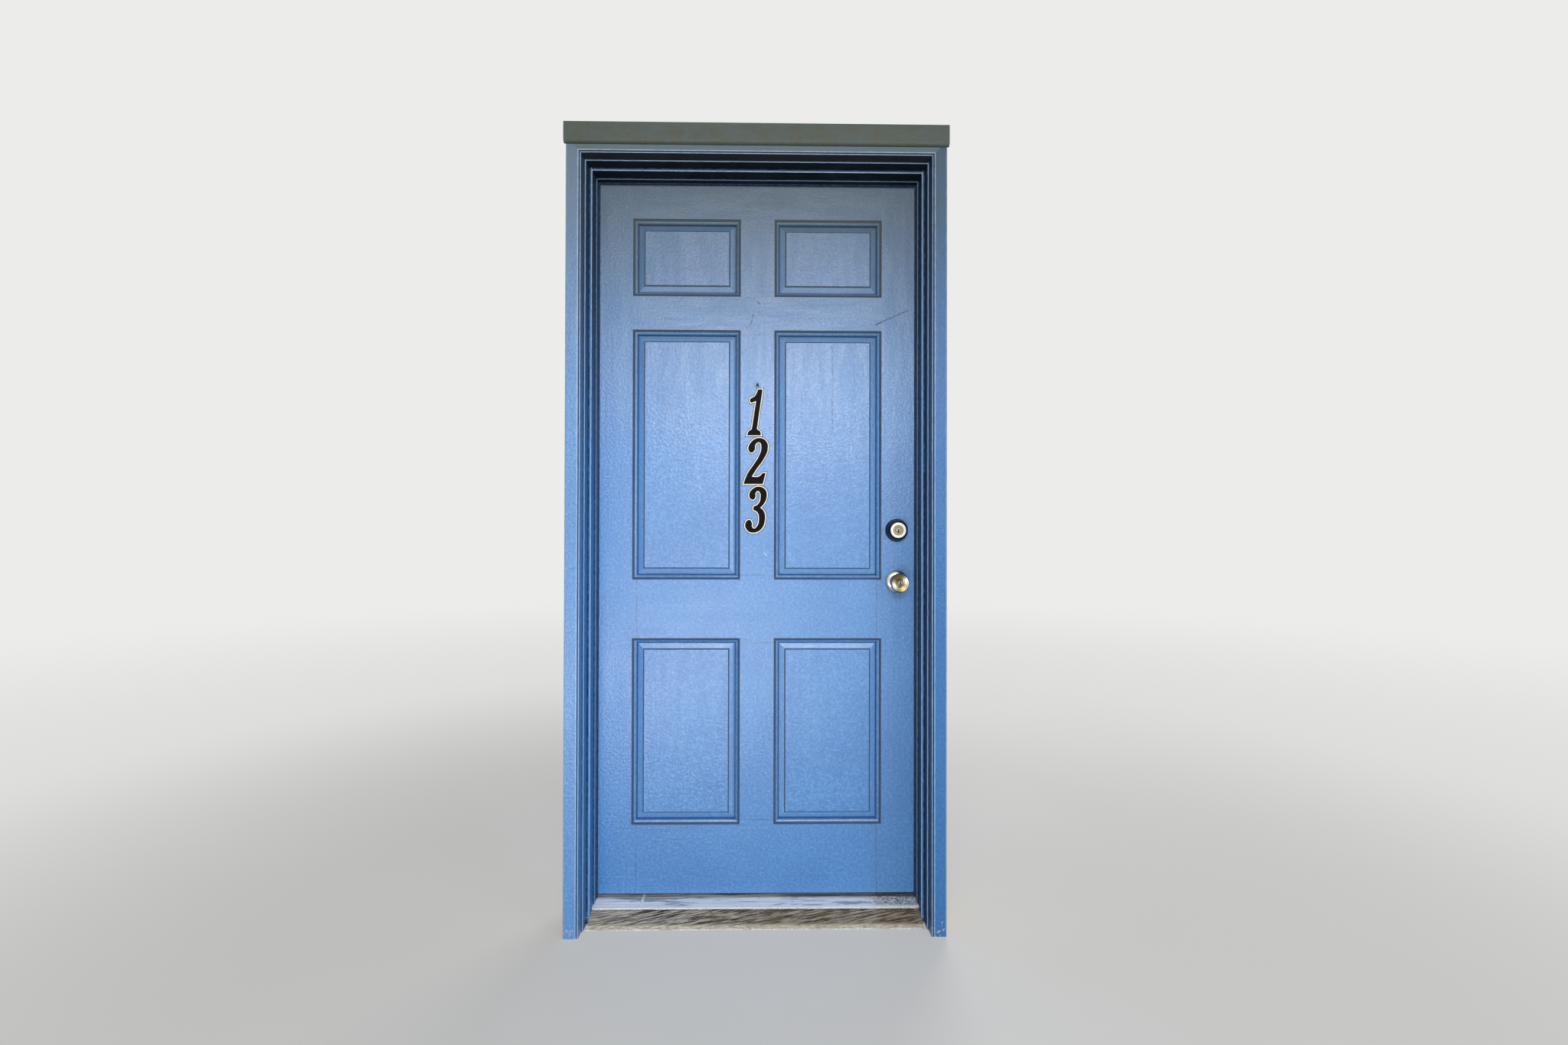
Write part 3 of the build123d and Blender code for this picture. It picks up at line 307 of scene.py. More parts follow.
def enamel(
    name, along, part="leaf", film=0.0, film_colour="#3d4539", build_up=1.0, worn_feet=False,
    deep=0.0, front_highlight=0.12, lines=(), corners=(), **shell,
):
    """Blue alkyd enamel brushed over timber.

    along is the brushing direction. The roller gives the eye orange peel, the brush faint streaks in it, and
    age gives chips at the feet. Dust and painted shade grey it towards the head; the frame has painted
    highlights on its front faces and arrises and painted shade in its corners and reveals. film is the share
    of dust and painted shade at the top, build_up how thick the brush laid it, deep the share of a darker coat
    that is painted shade, rub how strong the painted highlight on the narrow front faces is. Each of lines
    (painted highlights on arrises) and corners (painted shade in inner corners) is an edge across the frame,
    its depth, its reach in mm and its strength.
    """
    made, tree, place = material(name)
    x, y, z = split(tree, place)
    stretch = {"x": (22, 1, 1), "z": (1, 1, 22)}[along]

    # Bristles leave marks about 1 mm apart; drawn 3 mm apart, the finest that shows at this distance
    streaks = noise(tree, place, 3.0, stretch, detail=3.0)
    laps = noise(tree, place, 26.0, stretch=tuple(1 + 0.3 * (s > 1) * s for s in stretch), detail=2.0)
    # Orange peel of a short-nap roller
    peel = noise(tree, place, 4.5, detail=2.0, roughness=0.6)
    stipple = noise(tree, place, 8.0, detail=3.0, roughness=0.7)
    clouds = noise(tree, place, 260.0, detail=3.0)

    base = blend(tree, ramp(tree, clouds, 0.3, 0.7), colour("#3a80c4"), colour("#448bcd"))
    base = coat(tree, base, "#6a9cd8", ramp(tree, streaks, 0.45, 0.75, 0.0, 0.12))
    base = coat(tree, base, "#2d6cb4", ramp(tree, laps, 0.55, 0.75, 0.0, 0.12))
    base = coat(tree, base, "#245694", ramp(tree, peel, 0.56, 0.34, 0.0, 0.34))
    base = coat(tree, base, "#245694", ramp(tree, stipple, 0.58, 0.36, 0.0, 0.34))
    base = coat(tree, base, "#7fabdc", ramp(tree, stipple, 0.50, 0.72, 0.0, 0.26))
    # deep lays a darker coat that stands for painted shade
    if deep:
        base = coat(tree, base, "#22588f", deep)

    rough = ramp(tree, laps, 0.3, 0.7, 0.31, 0.38)
    rough = maths(tree, "ADD", rough, ramp(tree, streaks, 0.3, 0.7, -0.03, 0.05))

    on_leaf = part in ("leaf", "panel")
    if on_leaf:
        # Both faces of the leaf are moulded alike, so depth is taken from whichever is nearer
        depth = maths(tree, "MINIMUM", y, maths(tree, "SUBTRACT", LEAF_THICK, y))
        outside = ramp(tree, y, 0.55 * LEAF_THICK, 0.45 * LEAF_THICK)
        # Indoors there is less dirt and painted shade in the mouldings, and only a little of the dust and
        # shade at the top
        grime_and_shade_share = ramp(tree, outside, 0.0, 1.0, 0.6, 1.0)
        dust_and_shade_share = ramp(tree, outside, 0.0, 1.0, 0.25, 1.0)

    if part == "leaf":
        # Shoulders of the rails and muntins show as hairlines through the paint
        if along == "x":
            past = maths(tree, "SUBTRACT", maths(tree, "ABSOLUTE", x), STILE_JOINT)
            joint = maths(tree, "ABSOLUTE", past)
        else:
            joint = None
            for level in MUNTIN_ENDS:
                gap = maths(tree, "ABSOLUTE", maths(tree, "SUBTRACT", z, level))
                joint = gap if joint is None else maths(tree, "MINIMUM", joint, gap)
            beside = maths(tree, "GREATER_THAN", maths(tree, "ABSOLUTE", x), MUNTIN_HALF)
            joint = maths(tree, "ADD", joint, beside)
        line = ramp(tree, joint, 1.5 * MM, 0.4 * MM, 0.0, 0.7)
        base = coat(tree, base, "#1b3c6c", line, ramp(tree, noise(tree, place, 30.0), 0.35, 0.6, 0.3, 1.0))
        # Dirt and painted shade: darker in the quirk and at the foot of the moulding round each panel
        quirk = band(tree, depth, 0.6, 3.0)
        foot = band(tree, depth, 7.4, 12.0)
        grime_and_shade = maths(tree, "MAXIMUM", quirk, times(tree, foot, 0.8))
        grime_and_shade = times(tree, grime_and_shade, grime_and_shade_share)
        base = coat(tree, base, "#10233f", grime_and_shade, 0.9)
        rough = plus(tree, rough, grime_and_shade, 0.5)

    if part == "panel":
        # Painted sheen: the bevels are made paler
        bevel_sheen = ramp(tree, depth, (FIELD_DEPTH + 2.2) * MM, (FIELD_DEPTH + 3.2) * MM, 0.0, 0.30)
        base = coat(tree, base, "#86aede", bevel_sheen)
        # Dirt and painted shade: a dark thread at the step round the raised field, and in the groove
        step = band(tree, depth, FIELD_DEPTH + 0.3, FIELD_DEPTH + 3.7)
        groove = ramp(tree, depth, 14.4 * MM, 15.8 * MM)
        grime_and_shade = maths(tree, "MAXIMUM", times(tree, step, 0.95), groove)
        grime_and_shade = times(tree, grime_and_shade, grime_and_shade_share)
        base = coat(tree, base, "#12294a", grime_and_shade, 0.9)
        rough = plus(tree, rough, grime_and_shade, 0.5)

    if on_leaf:
        # The knocks were all taken on the side that looks at the street
        dark = times(tree, marks(tree, place, DARK_MARKS), outside)
        pale = times(tree, marks(tree, place, PALE_MARKS), outside)
        base = coat(tree, base, "#141d2c", dark, 0.95)
        base = coat(tree, base, "#d7e4f4", pale, 0.8)
        rough = plus(tree, rough, dark, 0.3)

    if film:
        # Dust and painted shade from above, thickest at the top
        risen = ramp(tree, z, FILM_FOOT, FILM_TOP)
        patch = ramp(tree, noise(tree, place, 38.0, detail=4.0), 0.25, 0.75, 0.92, 1.0)
        dust = times(tree, risen, patch, film)
        if on_leaf:
            dust = times(tree, dust, dust_and_shade_share)
        base = coat(tree, base, film_colour, dust)
        rough = plus(tree, rough, dust, 0.28)

    if part == "frame":
        nx, ny, nz = facing(tree)
        # Painted highlight on the narrow faces that look at the street
        base = coat(tree, base, "#9db9dc", ramp(tree, ny, -0.5, -0.9, 0.0, front_highlight))
        # Painted shade: faces that look to -X are made nearly black, faces that look to +X darker upwards.
        # The lock-side reveals are nearly black, the hinge-side ones darken upwards: dirt or shade, a guess
        lock_side_shade = times(tree, ramp(tree, nx, -0.5, -0.9), 0.90)
        high = times(tree, ramp(tree, nx, 0.5, 0.9), ramp(tree, z, 0.9, 1.9, 0.22, 0.72))
        base = coat(tree, base, "#07172f", maths(tree, "MAXIMUM", lock_side_shade, high))
        # Painted shade under every ledge, on the faces that look down
        under = ramp(tree, nz, -0.5, -0.9)
        underside_shade = ramp(tree, noise(tree, place, 60.0, detail=4.0), 0.25, 0.75, 0.86, 0.97)
        base = coat(tree, base, "#0a1016", under, underside_shade)
        rough = plus(tree, rough, under, 0.3)
        # Painted highlights along the arrises, and painted shade in the inner corners
        across = maths(tree, "ABSOLUTE", x) if along == "z" else z
        patchy = ramp(tree, noise(tree, place, 14.0, detail=4.0), 0.3, 0.65, 0.55, 1.0)
        for spots, tint in ((lines, "#a9c4e2"), (corners, "#0e1b30")):
            for edge, back, reach, strength in spots:
                line = near_line(tree, across, y, edge, back, reach)
                base = coat(tree, base, tint, line, strength, patchy)

    if worn_feet:
        # Paint knocked off to the white primer by the step, and a few chips along the whole leg
        low = ramp(tree, z, 0.085, 0.0)
        chips = noise(tree, place, 7.0, detail=4.0, roughness=0.65)
        cover = ramp(tree, low, 0.0, 1.0, 0.78, 0.57)
        bare = ramp(tree, maths(tree, "SUBTRACT", chips, cover), 0.0, 0.02)
        base = coat(tree, base, "#c8ccc9", bare)
        grey = ramp(tree, maths(tree, "SUBTRACT", chips, maths(tree, "ADD", cover, 0.05)), 0.0, 0.02)
        base = coat(tree, base, "#5d5a55", grey)
        rough = plus(tree, rough, bare, 0.4)

    if part == "frame":
        # The faces that meet the wall were never painted: bare pine with its grain
        grain = noise(tree, place, 5.0, (1, 1, 40), detail=4.0)
        pine = blend(tree, ramp(tree, grain, 0.3, 0.7), colour("#b99568"), colour("#d9bb90"))
        near, at = 0.4 * MM, 0.2 * MM
        outer = ramp(tree, maths(tree, "ABSOLUTE", x), JAMB_SIDE - near, JAMB_SIDE - at)
        over = ramp(tree, z, JAMB_TOP - near, JAMB_TOP - at)
        behind = ramp(tree, y, JAMB_FRONT - near, JAMB_FRONT - at)
        side = times(tree, maths(tree, "MAXIMUM", outer, over), behind)
        base = blend(tree, side, base, pine)
        rough = plus(tree, rough, side, 0.4)

    # Bump: brush marks under 0.1 mm, and an orange peel drawn 0.3 mm deep so that it shows at this distance
    height = times(tree, streaks, 0.30 * build_up)
    height = plus(tree, height, peel, 1.3)
    height = plus(tree, height, stipple, 1.8)
    height = plus(tree, height, laps, 0.8 * build_up)
    shell = {"IOR": 1.55, "Specular_IOR_Level": 0.95, **shell}
    return finish_material(made, tree, base, rough, height, depth_mm=0.5, **shell)


def bare_sill_timber():
    """Weathered softwood, sawn and left bare: silver-grey with raised grain, raking saw marks and stains."""
    made, tree, place = material("Weathered pine, bare")
    x, y, _ = split(tree, place)
    # Growth rings meet the face 3 to 6 mm apart; the saw's marks cross it at a slant
    slant = (0, 0, math.radians(-14))
    turned = add(tree, "ShaderNodeMapping", {"Vector": place, "Rotation": slant}).outputs[0]
    grain = noise(tree, turned, 4.0, (26, 1, 1), detail=5.0, roughness=0.7)
    checks = noise(tree, turned, 3.0, (34, 1, 1), detail=3.0)
    stain = noise(tree, turned, 18.0, (14, 1, 1), detail=4.0)
    wash = noise(tree, place, 160.0, (2.0, 1, 1), detail=3.0)
    base = blend(tree, ramp(tree, grain, 0.44, 0.54), colour("#3b3127"), colour("#ccc2af"))
    base = coat(tree, base, "#8b765a", ramp(tree, wash, 0.45, 0.62, 0.0, 0.45))
    base = coat(tree, base, "#2d2620", ramp(tree, stain, 0.54, 0.68, 0.0, 0.7))
    base = coat(tree, base, "#d0c9b8", ramp(tree, stain, 0.42, 0.3, 0.0, 0.45))
    base = coat(tree, base, "#17120e", ramp(tree, checks, 0.56, 0.64, 0.0, 0.9))
    # Painted shade along the foot of the saddle's lip
    lip_shade = ramp(tree, y, SADDLE_FRONT - 7 * MM, SADDLE_FRONT - 2 * MM, 0.0, 0.9)
    base = coat(tree, base, "#1a1511", lip_shade)
    # Broom and shoes keep the left end and the front edge paler
    left = ramp(tree, x, -0.26, -0.44, 0.0, 0.35)
    front = ramp(tree, y, SILL_FRONT + 9 * MM, SILL_FRONT + 2 * MM, 0.0, 0.5)
    base = coat(tree, base, "#cbc4b4", maths(tree, "MAXIMUM", left, front))
    height = maths(tree, "SUBTRACT", grain, ramp(tree, checks, 0.58, 0.66))
    return finish_material(made, tree, base, 0.86, height, depth_mm=0.7, Specular_IOR_Level=0.25)


def oxidised_saddle():
    """Mill-finish extruded aluminium gone chalky: pale oxide, grey where feet rub, dirt along its back."""
    made, tree, place = material("Aluminium extrusion, oxidised")
    x, y, _ = split(tree, place)
    rubbed = noise(tree, place, 2.6, (60, 1, 1), detail=4.0)
    bloom = noise(tree, place, 14.0, (12, 1, 1), detail=5.0, roughness=0.7)
    pits = noise(tree, place, 3.2, (2, 1, 1), detail=3.0)
    base = blend(tree, ramp(tree, rubbed, 0.3, 0.7), colour("#d6e0e9"), colour("#ffffff"))
    base = coat(tree, base, "#7d8fa2", ramp(tree, bloom, 0.52, 0.60, 0.0, 0.8))
    back = ramp(tree, y, SADDLE_FRONT + 24 * MM, SADDLE_FRONT + 50 * MM, 0.0, 0.95)
    base = coat(tree, base, "#525b64", back, ramp(tree, bloom, 0.35, 0.6, 0.3, 1.0))
    worn = ramp(tree, x, 0.29, 0.36)
    speckle = noise(tree, place, 5.0, (1.5, 1, 1), detail=4.0, roughness=0.7)
    base = coat(tree, base, "#6d6453", worn, ramp(tree, speckle, 0.40, 0.58), 0.85)
    # A splash of white paint crosses it, and its front lip is scoured bright
    splash = ramp(tree, maths(tree, "ABSOLUTE", maths(tree, "ADD", x, 0.315)), 5 * MM, 3 * MM)
    splash = times(tree, splash, ramp(tree, speckle, 0.35, 0.5))
    lip = ramp(tree, y, SADDLE_FRONT + 9 * MM, SADDLE_FRONT + 4 * MM)
    white = maths(tree, "MAXIMUM", splash, times(tree, lip, 0.85))
    base = coat(tree, base, "#eef1f4", white)
    base = coat(tree, base, "#2e2f33", ramp(tree, pits, 0.66, 0.72, 0.0, 0.85))
    rough = ramp(tree, rubbed, 0.3, 0.7, 0.40, 0.6)
    shaped = maths(tree, "SUBTRACT", rubbed, times(tree, pits, 0.5))
    return finish_material(made, tree, base, rough, shaped, depth_mm=0.2, Metallic=0.2)


def ring_masks(tree, radius, sizes_mm, half_width_mm):
    """Thin rings turned at the given radii."""
    total = None
    for size in sizes_mm:
        gap = maths(tree, "ABSOLUTE", maths(tree, "SUBTRACT", radius, size * MM))
        ring = ramp(tree, gap, half_width_mm * MM, 0.4 * half_width_mm * MM)
        total = ring if total is None else maths(tree, "MAXIMUM", total, ring)
    return total


def around(tree, place, axis):
    """Offsets from a turned piece's axis, its radius, and the depth along it."""
    dx, depth, dz = split(tree, vector(tree, "SUBTRACT", place, (axis[0], 0, axis[1])))
    radius = vector(tree, "LENGTH", joined(tree, dx, 0.0, dz), out="Value")
    return dx, dz, radius, depth


def metal(name, dark, light, rough, grain_mm, depth_mm, axis=None, smear=0.0):
    """A plain metal: its polish or brushing as streaks, handling smears, and a little bump.

    axis is given for a turned piece, so that its tool marks are rings.
    """
    made, tree, place = material(name)
    if axis:
        _, _, radius, depth = around(tree, place, axis)
        streaks = noise(tree, joined(tree, radius, depth), grain_mm, detail=2.0)
    else:
        streaks = noise(tree, place, grain_mm, (1, 1, 12), detail=2.0)
    hands = noise(tree, place, 9.0, detail=3.0)
    base = blend(tree, ramp(tree, streaks, 0.3, 0.7), colour(dark), colour(light))
    base = coat(tree, base, dark, ramp(tree, hands, 0.55, 0.75, 0.0, smear))
    smudges = ramp(tree, hands, 0.5, 0.75, 0.0, 0.12)
    roughness = maths(tree, "ADD", ramp(tree, streaks, 0.3, 0.7, rough, rough + 0.08), smudges)
    return finish_material(made, tree, base, roughness, streaks, depth_mm, Metallic=1.0)


def turned_knob_metal():
    """Satin nickel over brass, spun against fine abrasive.

    The spun cone's bright and golden fans are a painted reflection, and rubbed plating lets a little of the
    brass's gold through.
    """
    made, tree, place = material("Satin nickel, spun")
    dx, dz, radius, depth = around(tree, place, KNOB_AXIS)
    angle = maths(tree, "ARCTAN2", dz, dx)
    # Painted reflection: two bright fans and two golden ones round the cone
    fans = maths(tree, "SINE", maths(tree, "ADD", times(tree, angle, 2.0), 0.9))
    rings = noise(tree, joined(tree, radius, depth), 0.9, detail=2.0)
    wear = noise(tree, place, 11.0, detail=3.0)
    base = blend(tree, ramp(tree, fans, -0.6, 0.9), colour("#8f7a4c"), colour("#c3c0b6"))
    base = coat(tree, base, "#84744c", ramp(tree, wear, 0.5, 0.7, 0.0, 0.35))
    base = coat(tree, base, "#5f5b50", ramp(tree, rings, 0.35, 0.65, 0.0, 0.45))
    # Painted shade in turned grooves: round the plug, at the edge of the dish and behind the rim
    front = ramp(tree, depth, KNOB_FRONT + 12 * MM, KNOB_FRONT + 6 * MM)
    grooves = ring_masks(tree, radius, (8.0, 12.5, 19.5), 0.9)
    base = coat(tree, base, "#1f1c17", grooves, front, 0.9)
    rough = ramp(tree, rings, 0.3, 0.7, 0.30, 0.42)
    return finish_material(made, tree, base, rough, rings, depth_mm=0.06, Metallic=1.0)


def lock_face_metal(name, axis, grooves_mm, slot_mm=0.0):
    """Faced nickel-plated brass of a key cylinder: facing rings, and painted shade in its grooves and keyway.

    slot_mm is half the height of the keyway, or 0 for a face without one.
    """
    made, tree, place = material(name)
    dx, dz, radius, depth = around(tree, place, axis)
    rings = noise(tree, joined(tree, radius, depth), 0.8, detail=2.0)
    hands = noise(tree, place, 6.0, detail=3.0)
    base = blend(tree, ramp(tree, rings, 0.3, 0.7), colour("#857c67"), colour("#b8b09a"))
    base = coat(tree, base, "#7d7460", ramp(tree, hands, 0.5, 0.7, 0.0, 0.4))
    # The cylinder's rim, beyond its last groove, is polished brighter
    base = coat(tree, base, "#e9e6da", ramp(tree, radius, 13.6 * MM, 14.4 * MM, 0.0, 0.7))
    # Painted shade in the turned grooves
    dark = ring_masks(tree, radius, grooves_mm, 1.3)
    if slot_mm:
        # Painted shade of the keyway, which stands upright in the plug, wider at its foot
        wide = ramp(tree, dz, 1.0 * MM, -3.0 * MM, 1.4 * MM, 2.6 * MM)
        across = maths(tree, "SUBTRACT", maths(tree, "ABSOLUTE", dx), wide)
        slot = ramp(tree, across, 0.5 * MM, -0.2 * MM)
        tall = maths(tree, "ABSOLUTE", maths(tree, "ADD", dz, 0.6 * MM))
        slot = times(tree, slot, ramp(tree, tall, slot_mm * MM, (slot_mm - 0.8) * MM))
        dark = maths(tree, "MAXIMUM", dark, slot)
    base = coat(tree, base, "#12100d", dark, 0.95)
    rough = ramp(tree, rings, 0.3, 0.7, 0.32, 0.42)
    done = finish_material(made, tree, base, rough, rings, depth_mm=0.04)
    tree.links.new(maths(tree, "SUBTRACT", 1.0, dark), tree.nodes["Principled BSDF"].inputs["Metallic"])
    return done


def plastic(name, dark, light, rough, grain_mm=6.0, depth_mm=0.1, shine=0.25):
    """Moulded or painted-over plastic and vinyl: dull, with faint mottling."""
    made, tree, place = material(name)
    mottle = noise(tree, place, grain_mm, detail=3.0)
    base = blend(tree, ramp(tree, mottle, 0.3, 0.7), colour(dark), colour(light))
    roughness = ramp(tree, mottle, 0.3, 0.7, rough - 0.06, rough + 0.06)
    return finish_material(made, tree, base, roughness, mottle, depth_mm, Specular_IOR_Level=shine)


def viewer_glass():
    """Ground optical glass, drawn opaque: its dark colour is painted shade of the inside behind it."""
    made, tree, place = material("Ground glass lens")
    dust = noise(tree, place, 1.5, detail=3.0)
    base = blend(tree, ramp(tree, dust, 0.5, 0.8, 0.0, 0.3), colour("#1a2026"), colour("#8f979e"))
    rough = ramp(tree, dust, 0.4, 0.8, 0.02, 0.2)
    return finish_material(made, tree, base, rough, dust, depth_mm=0.005, IOR=1.52)


def frame_highlights_and_shade(face, faces):
    """Painted highlights on arrises, painted shade in corners: across the frame from the jamb's face."""
    pale = [(face + 0.8 * MM, JAMB_FRONT, 2.4, 0.7)]
    pale += [(step + 0.5 * MM, front, 2.2, 0.8) for step, front in zip(faces, STOP_FRONTS)]
    dark = [(face, STOP_FRONTS[0], 4.6, 0.95), (faces[0], STOP_FRONTS[1], 4.6, 0.95)]
    return {"lines": pale, "corners": dark + [(face + 4.2 * MM, JAMB_FRONT, 3.2, 0.9)]}


def moulding_highlights_and_shade(face):
    """Painted highlights on the moulding's bead and band edges, painted shade in the quirk between them."""
    pale = [(face + BEAD, CASING_FRONT, 1.8, 0.6), (face + BAND, CASING_FRONT, 2.0, 0.6)]
    return {
        "lines": pale + [(face + BAND_END, CASING_FRONT, 2.6, 0.5)],
        "corners": [(face + QUIRK, CASING_FRONT + 3 * MM, 3.2, 0.95)],
    }


# One material per finish, and which nodes it dresses
upright = enamel("Blue enamel on stiles, brushed upwards", "z", film=0.84)
level = enamel("Blue enamel on rails, brushed along", "x", film=0.86)
raised = enamel("Blue enamel on raised panels, rolled", "z", film=0.76, part="panel")
casing = enamel(
    "Blue enamel on casing, thick and chipped", "z", part="frame", film=0.84, build_up=1.6, worn_feet=True,
    Specular_IOR_Level=0.8, **moulding_highlights_and_shade(JAMB_FACE),
)
# The lock-side casing's darker coat is painted shade
lock_side_casing = enamel(
    "Blue enamel on casing, darkened by painted shade", "z", part="frame", film=0.80, build_up=1.8,
    worn_feet=True, deep=0.55, front_highlight=0.0, Specular_IOR_Level=0.45, **moulding_highlights_and_shade(JAMB_FACE),
)
legs = enamel(
    "Blue enamel on jambs", "z", part="frame", film=0.72, build_up=1.4, worn_feet=True,
    Specular_IOR_Level=0.1, **frame_highlights_and_shade(JAMB_FACE, STOP_FACES),
)
# The head moulding, the head jamb and the head board are greyed by dust and by painted shade
head = enamel(
    "Blue enamel on the head moulding, dust and painted shade", "x", part="frame", film=0.97, film_colour="#4c5446",
    build_up=1.4, Specular_IOR_Level=0.35, **moulding_highlights_and_shade(HEAD_FACE),
)
soffit = enamel(
    "Blue enamel on the head jamb, dust and painted shade", "x", part="frame", film=0.85, build_up=1.4,
    Specular_IOR_Level=0.1, **frame_highlights_and_shade(HEAD_FACE, HEAD_FACES),
)
ledge = enamel(
    "Blue enamel on the head board, filmed over", "x", part="board", film=1.0, film_colour="#4a4f40",
    build_up=1.4, Specular_IOR_Level=0.38,
)
sill_wood = bare_sill_timber()
saddle_metal = oxidised_saddle()
seal_vinyl = plastic("Vinyl seal, extruded", "#1b1a19", "#2b2927", 0.6)
strip_vinyl = plastic("Foam strip, painted over", "#131f33", "#2c4266", 0.7, grain_mm=8.0)
hinge_steel = metal("Steel hinge, satin brushed", "#86837c", "#b8b4aa", 0.34, 0.8, 0.02, smear=0.4)
lock_steel = metal("Zinc-plated lock steel", "#8b8d90", "#b9bbbd", 0.30, 0.7, 0.02, smear=0.3)
rose_chrome = metal("Bright plated brass, spun", "#a6a6a4", "#d4d4d2", 0.16, 0.6, 0.01, KNOB_AXIS, smear=0.3)
knob_nickel = turned_knob_metal()
cylinder_nickel = lock_face_metal("Satin nickel, faced", CYLINDER_AXIS, (8.2, 13.2))
collar_enamel = metal("Dark lacquered steel", "#0b1626", "#182a40", 0.30, 1.2, 0.03, CYLINDER_AXIS, smear=0.3)
deadbolt_plug_brass = lock_face_metal("Deadbolt plug, nickel-plated", CYLINDER_AXIS, (7.4,), slot_mm=5.2)
knob_plug_brass = lock_face_metal("Knob plug, nickel-plated", KNOB_AXIS, (6.6,), slot_mm=4.8)
viewer_brass = metal("Plated viewer barrel, painted over", "#3f6799", "#6f97c6", 0.40, 0.8, 0.02, smear=0.3)
glass = viewer_glass()

HEIGHTS = ("lower", "middle", "upper")
DRESS = {
    upright: ["hinge_stile", "lock_stile", "top_muntin", "middle_muntin", "bottom_muntin"],
    raised: [f"{row}_{side}_panel" for row in ("top", "middle", "bottom") for side in ("left", "right")],
    level: ["top_rail", "frieze_rail", "lock_rail", "bottom_rail"],
    casing: ["left_casing"],
    lock_side_casing: ["right_casing"],
    legs: ["hinge_jamb", "strike_jamb", "hinge_stop", "strike_stop"],
    head: ["head_casing"],
    soffit: ["head_jamb", "head_stop"],
    ledge: ["head_board"],
    sill_wood: ["wood_sill"],
    saddle_metal: ["threshold_saddle"],
    seal_vinyl: ["threshold_seal"],
    strip_vinyl: ["hinge_side_strip", "strike_side_strip", "head_strip"],
    hinge_steel: [f"{height}_hinge_{part}_plate" for height in HEIGHTS for part in ("frame", "leaf")],
    lock_steel: ["knob_spindle"]
    + [f"{lock}_{part}" for lock in ("latch", "deadbolt") for part in ("case", "faceplate", "strike", "bolt")],
    rose_chrome: ["outside_rose", "inside_rose"],
    knob_nickel: ["outside_knob", "inside_knob", "lock_button"],
    cylinder_nickel: ["deadbolt_cylinder", "thumb_plate", "thumb_turn"],
    collar_enamel: ["deadbolt_collar"],
    deadbolt_plug_brass: ["deadbolt_key_plug"],
    knob_plug_brass: ["knob_key_plug"],
    viewer_brass: ["viewer_outer_barrel", "viewer_inner_barrel"],
    glass: ["viewer_lens"],
}
for finish, names in DRESS.items():
    for name in names:
        nodes[name].data.materials.clear()
        nodes[name].data.materials.append(finish)


def place_piece(name, mesh, finish, body):
    """Put a mesh in the scene as a piece that rides on a body."""
    mesh.name = name
    mesh.materials.clear()
    mesh.materials.append(finish)
    made = bpy.data.objects.new(name, mesh)
    bpy.context.scene.collection.objects.link(made)
    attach(made, body)


# Outlines of the numerals, in millimetres from the middle of each: corners are marked v, smooth points a
NUMERALS = [
    [
        (9, 70, "v"), (4, -54, "v"), (15, -61, "a"), (18, -70, "v"), (-20, -70, "v"), (-17, -61, "a"),
        (-8, -54, "v"), (-3, 39, "v"), (-20, 32, "v"), (-23, 38, "a"), (-9, 50, "a"), (-1, 70, "v"),
    ],
    [
        (-27, 36, "a"), (-20, 59, "a"), (1, 70, "a"), (23, 60, "a"), (29, 36, "a"), (20, 7, "a"),
        (1, -24, "a"), (-13, -51, "v"), (12, -51, "a"), (24, -40, "v"), (30, -40, "v"), (25, -70, "v"),
        (-31, -70, "v"), (-23, -42, "a"), (-4, -9, "a"), (9, 18, "a"), (13, 40, "a"), (7, 58, "a"),
        (-3, 60, "a"), (-11, 50, "a"), (-11, 36, "a"), (-19, 28, "a"),
    ],
    [
        (-25, 44, "a"), (-18, 62, "a"), (0, 70, "a"), (20, 61, "a"), (26, 40, "a"), (19, 18, "a"),
        (8, 6, "v"), (22, -6, "a"), (28, -30, "a"), (19, -60, "a"), (-4, -70, "a"), (-22, -62, "a"),
        (-28, -44, "a"), (-19, -34, "a"), (-12, -42, "a"), (-10, -55, "a"), (-2, -61, "a"), (9, -53, "a"),
        (13, -30, "a"), (6, -8, "a"), (-8, 1, "v"), (-8, 8, "v"), (5, 16, "a"), (11, 38, "a"),
        (5, 57, "a"), (-3, 60, "a"), (-10, 51, "a"), (-9, 40, "a"), (-16, 33, "a"),
    ],
]
NUMERAL_X = -2.0
NUMERAL_HEIGHTS = (1396.0, 1259.0, 1122.0)
NUMERAL_SIZE = 0.90  # of the outlines above
SLANT = 0.10


def numeral_layer(outline, grow_mm, thick_mm, centre_z):
    """A numeral cut from sheet: its outline grown evenly, laid on the face of the door."""
    shape = bpy.data.curves.new("numeral", "CURVE")
    shape.dimensions = "2D"
    shape.fill_mode = "BOTH"
    shape.resolution_u = 10
    shape.offset = grow_mm * MM
    shape.extrude = thick_mm * MM / 2
    spline = shape.splines.new("BEZIER")
    spline.bezier_points.add(len(outline) - 1)
    for point, (x, z, kind) in zip(spline.bezier_points, outline):
        point.co = Vector((x + SLANT * z, z, 0)) * NUMERAL_SIZE * MM
        handle = "VECTOR" if kind == "v" else "AUTO"
        point.handle_left_type = point.handle_right_type = handle
    spline.use_cyclic_u = True
    holder = bpy.data.objects.new("numeral", shape)
    bpy.context.scene.collection.objects.link(holder)
    bpy.context.view_layer.update()
    shaped = holder.evaluated_get(bpy.context.evaluated_depsgraph_get())
    mesh = bpy.data.meshes.new_from_object(shaped)
    bpy.data.objects.remove(holder)
    bpy.data.curves.remove(shape)
    stand = Matrix.Rotation(math.radians(90), 4, "X")
    mesh.transform(Matrix.Translation((NUMERAL_X * MM, -thick_mm * MM / 2, centre_z * MM)) @ stand)
    return mesh


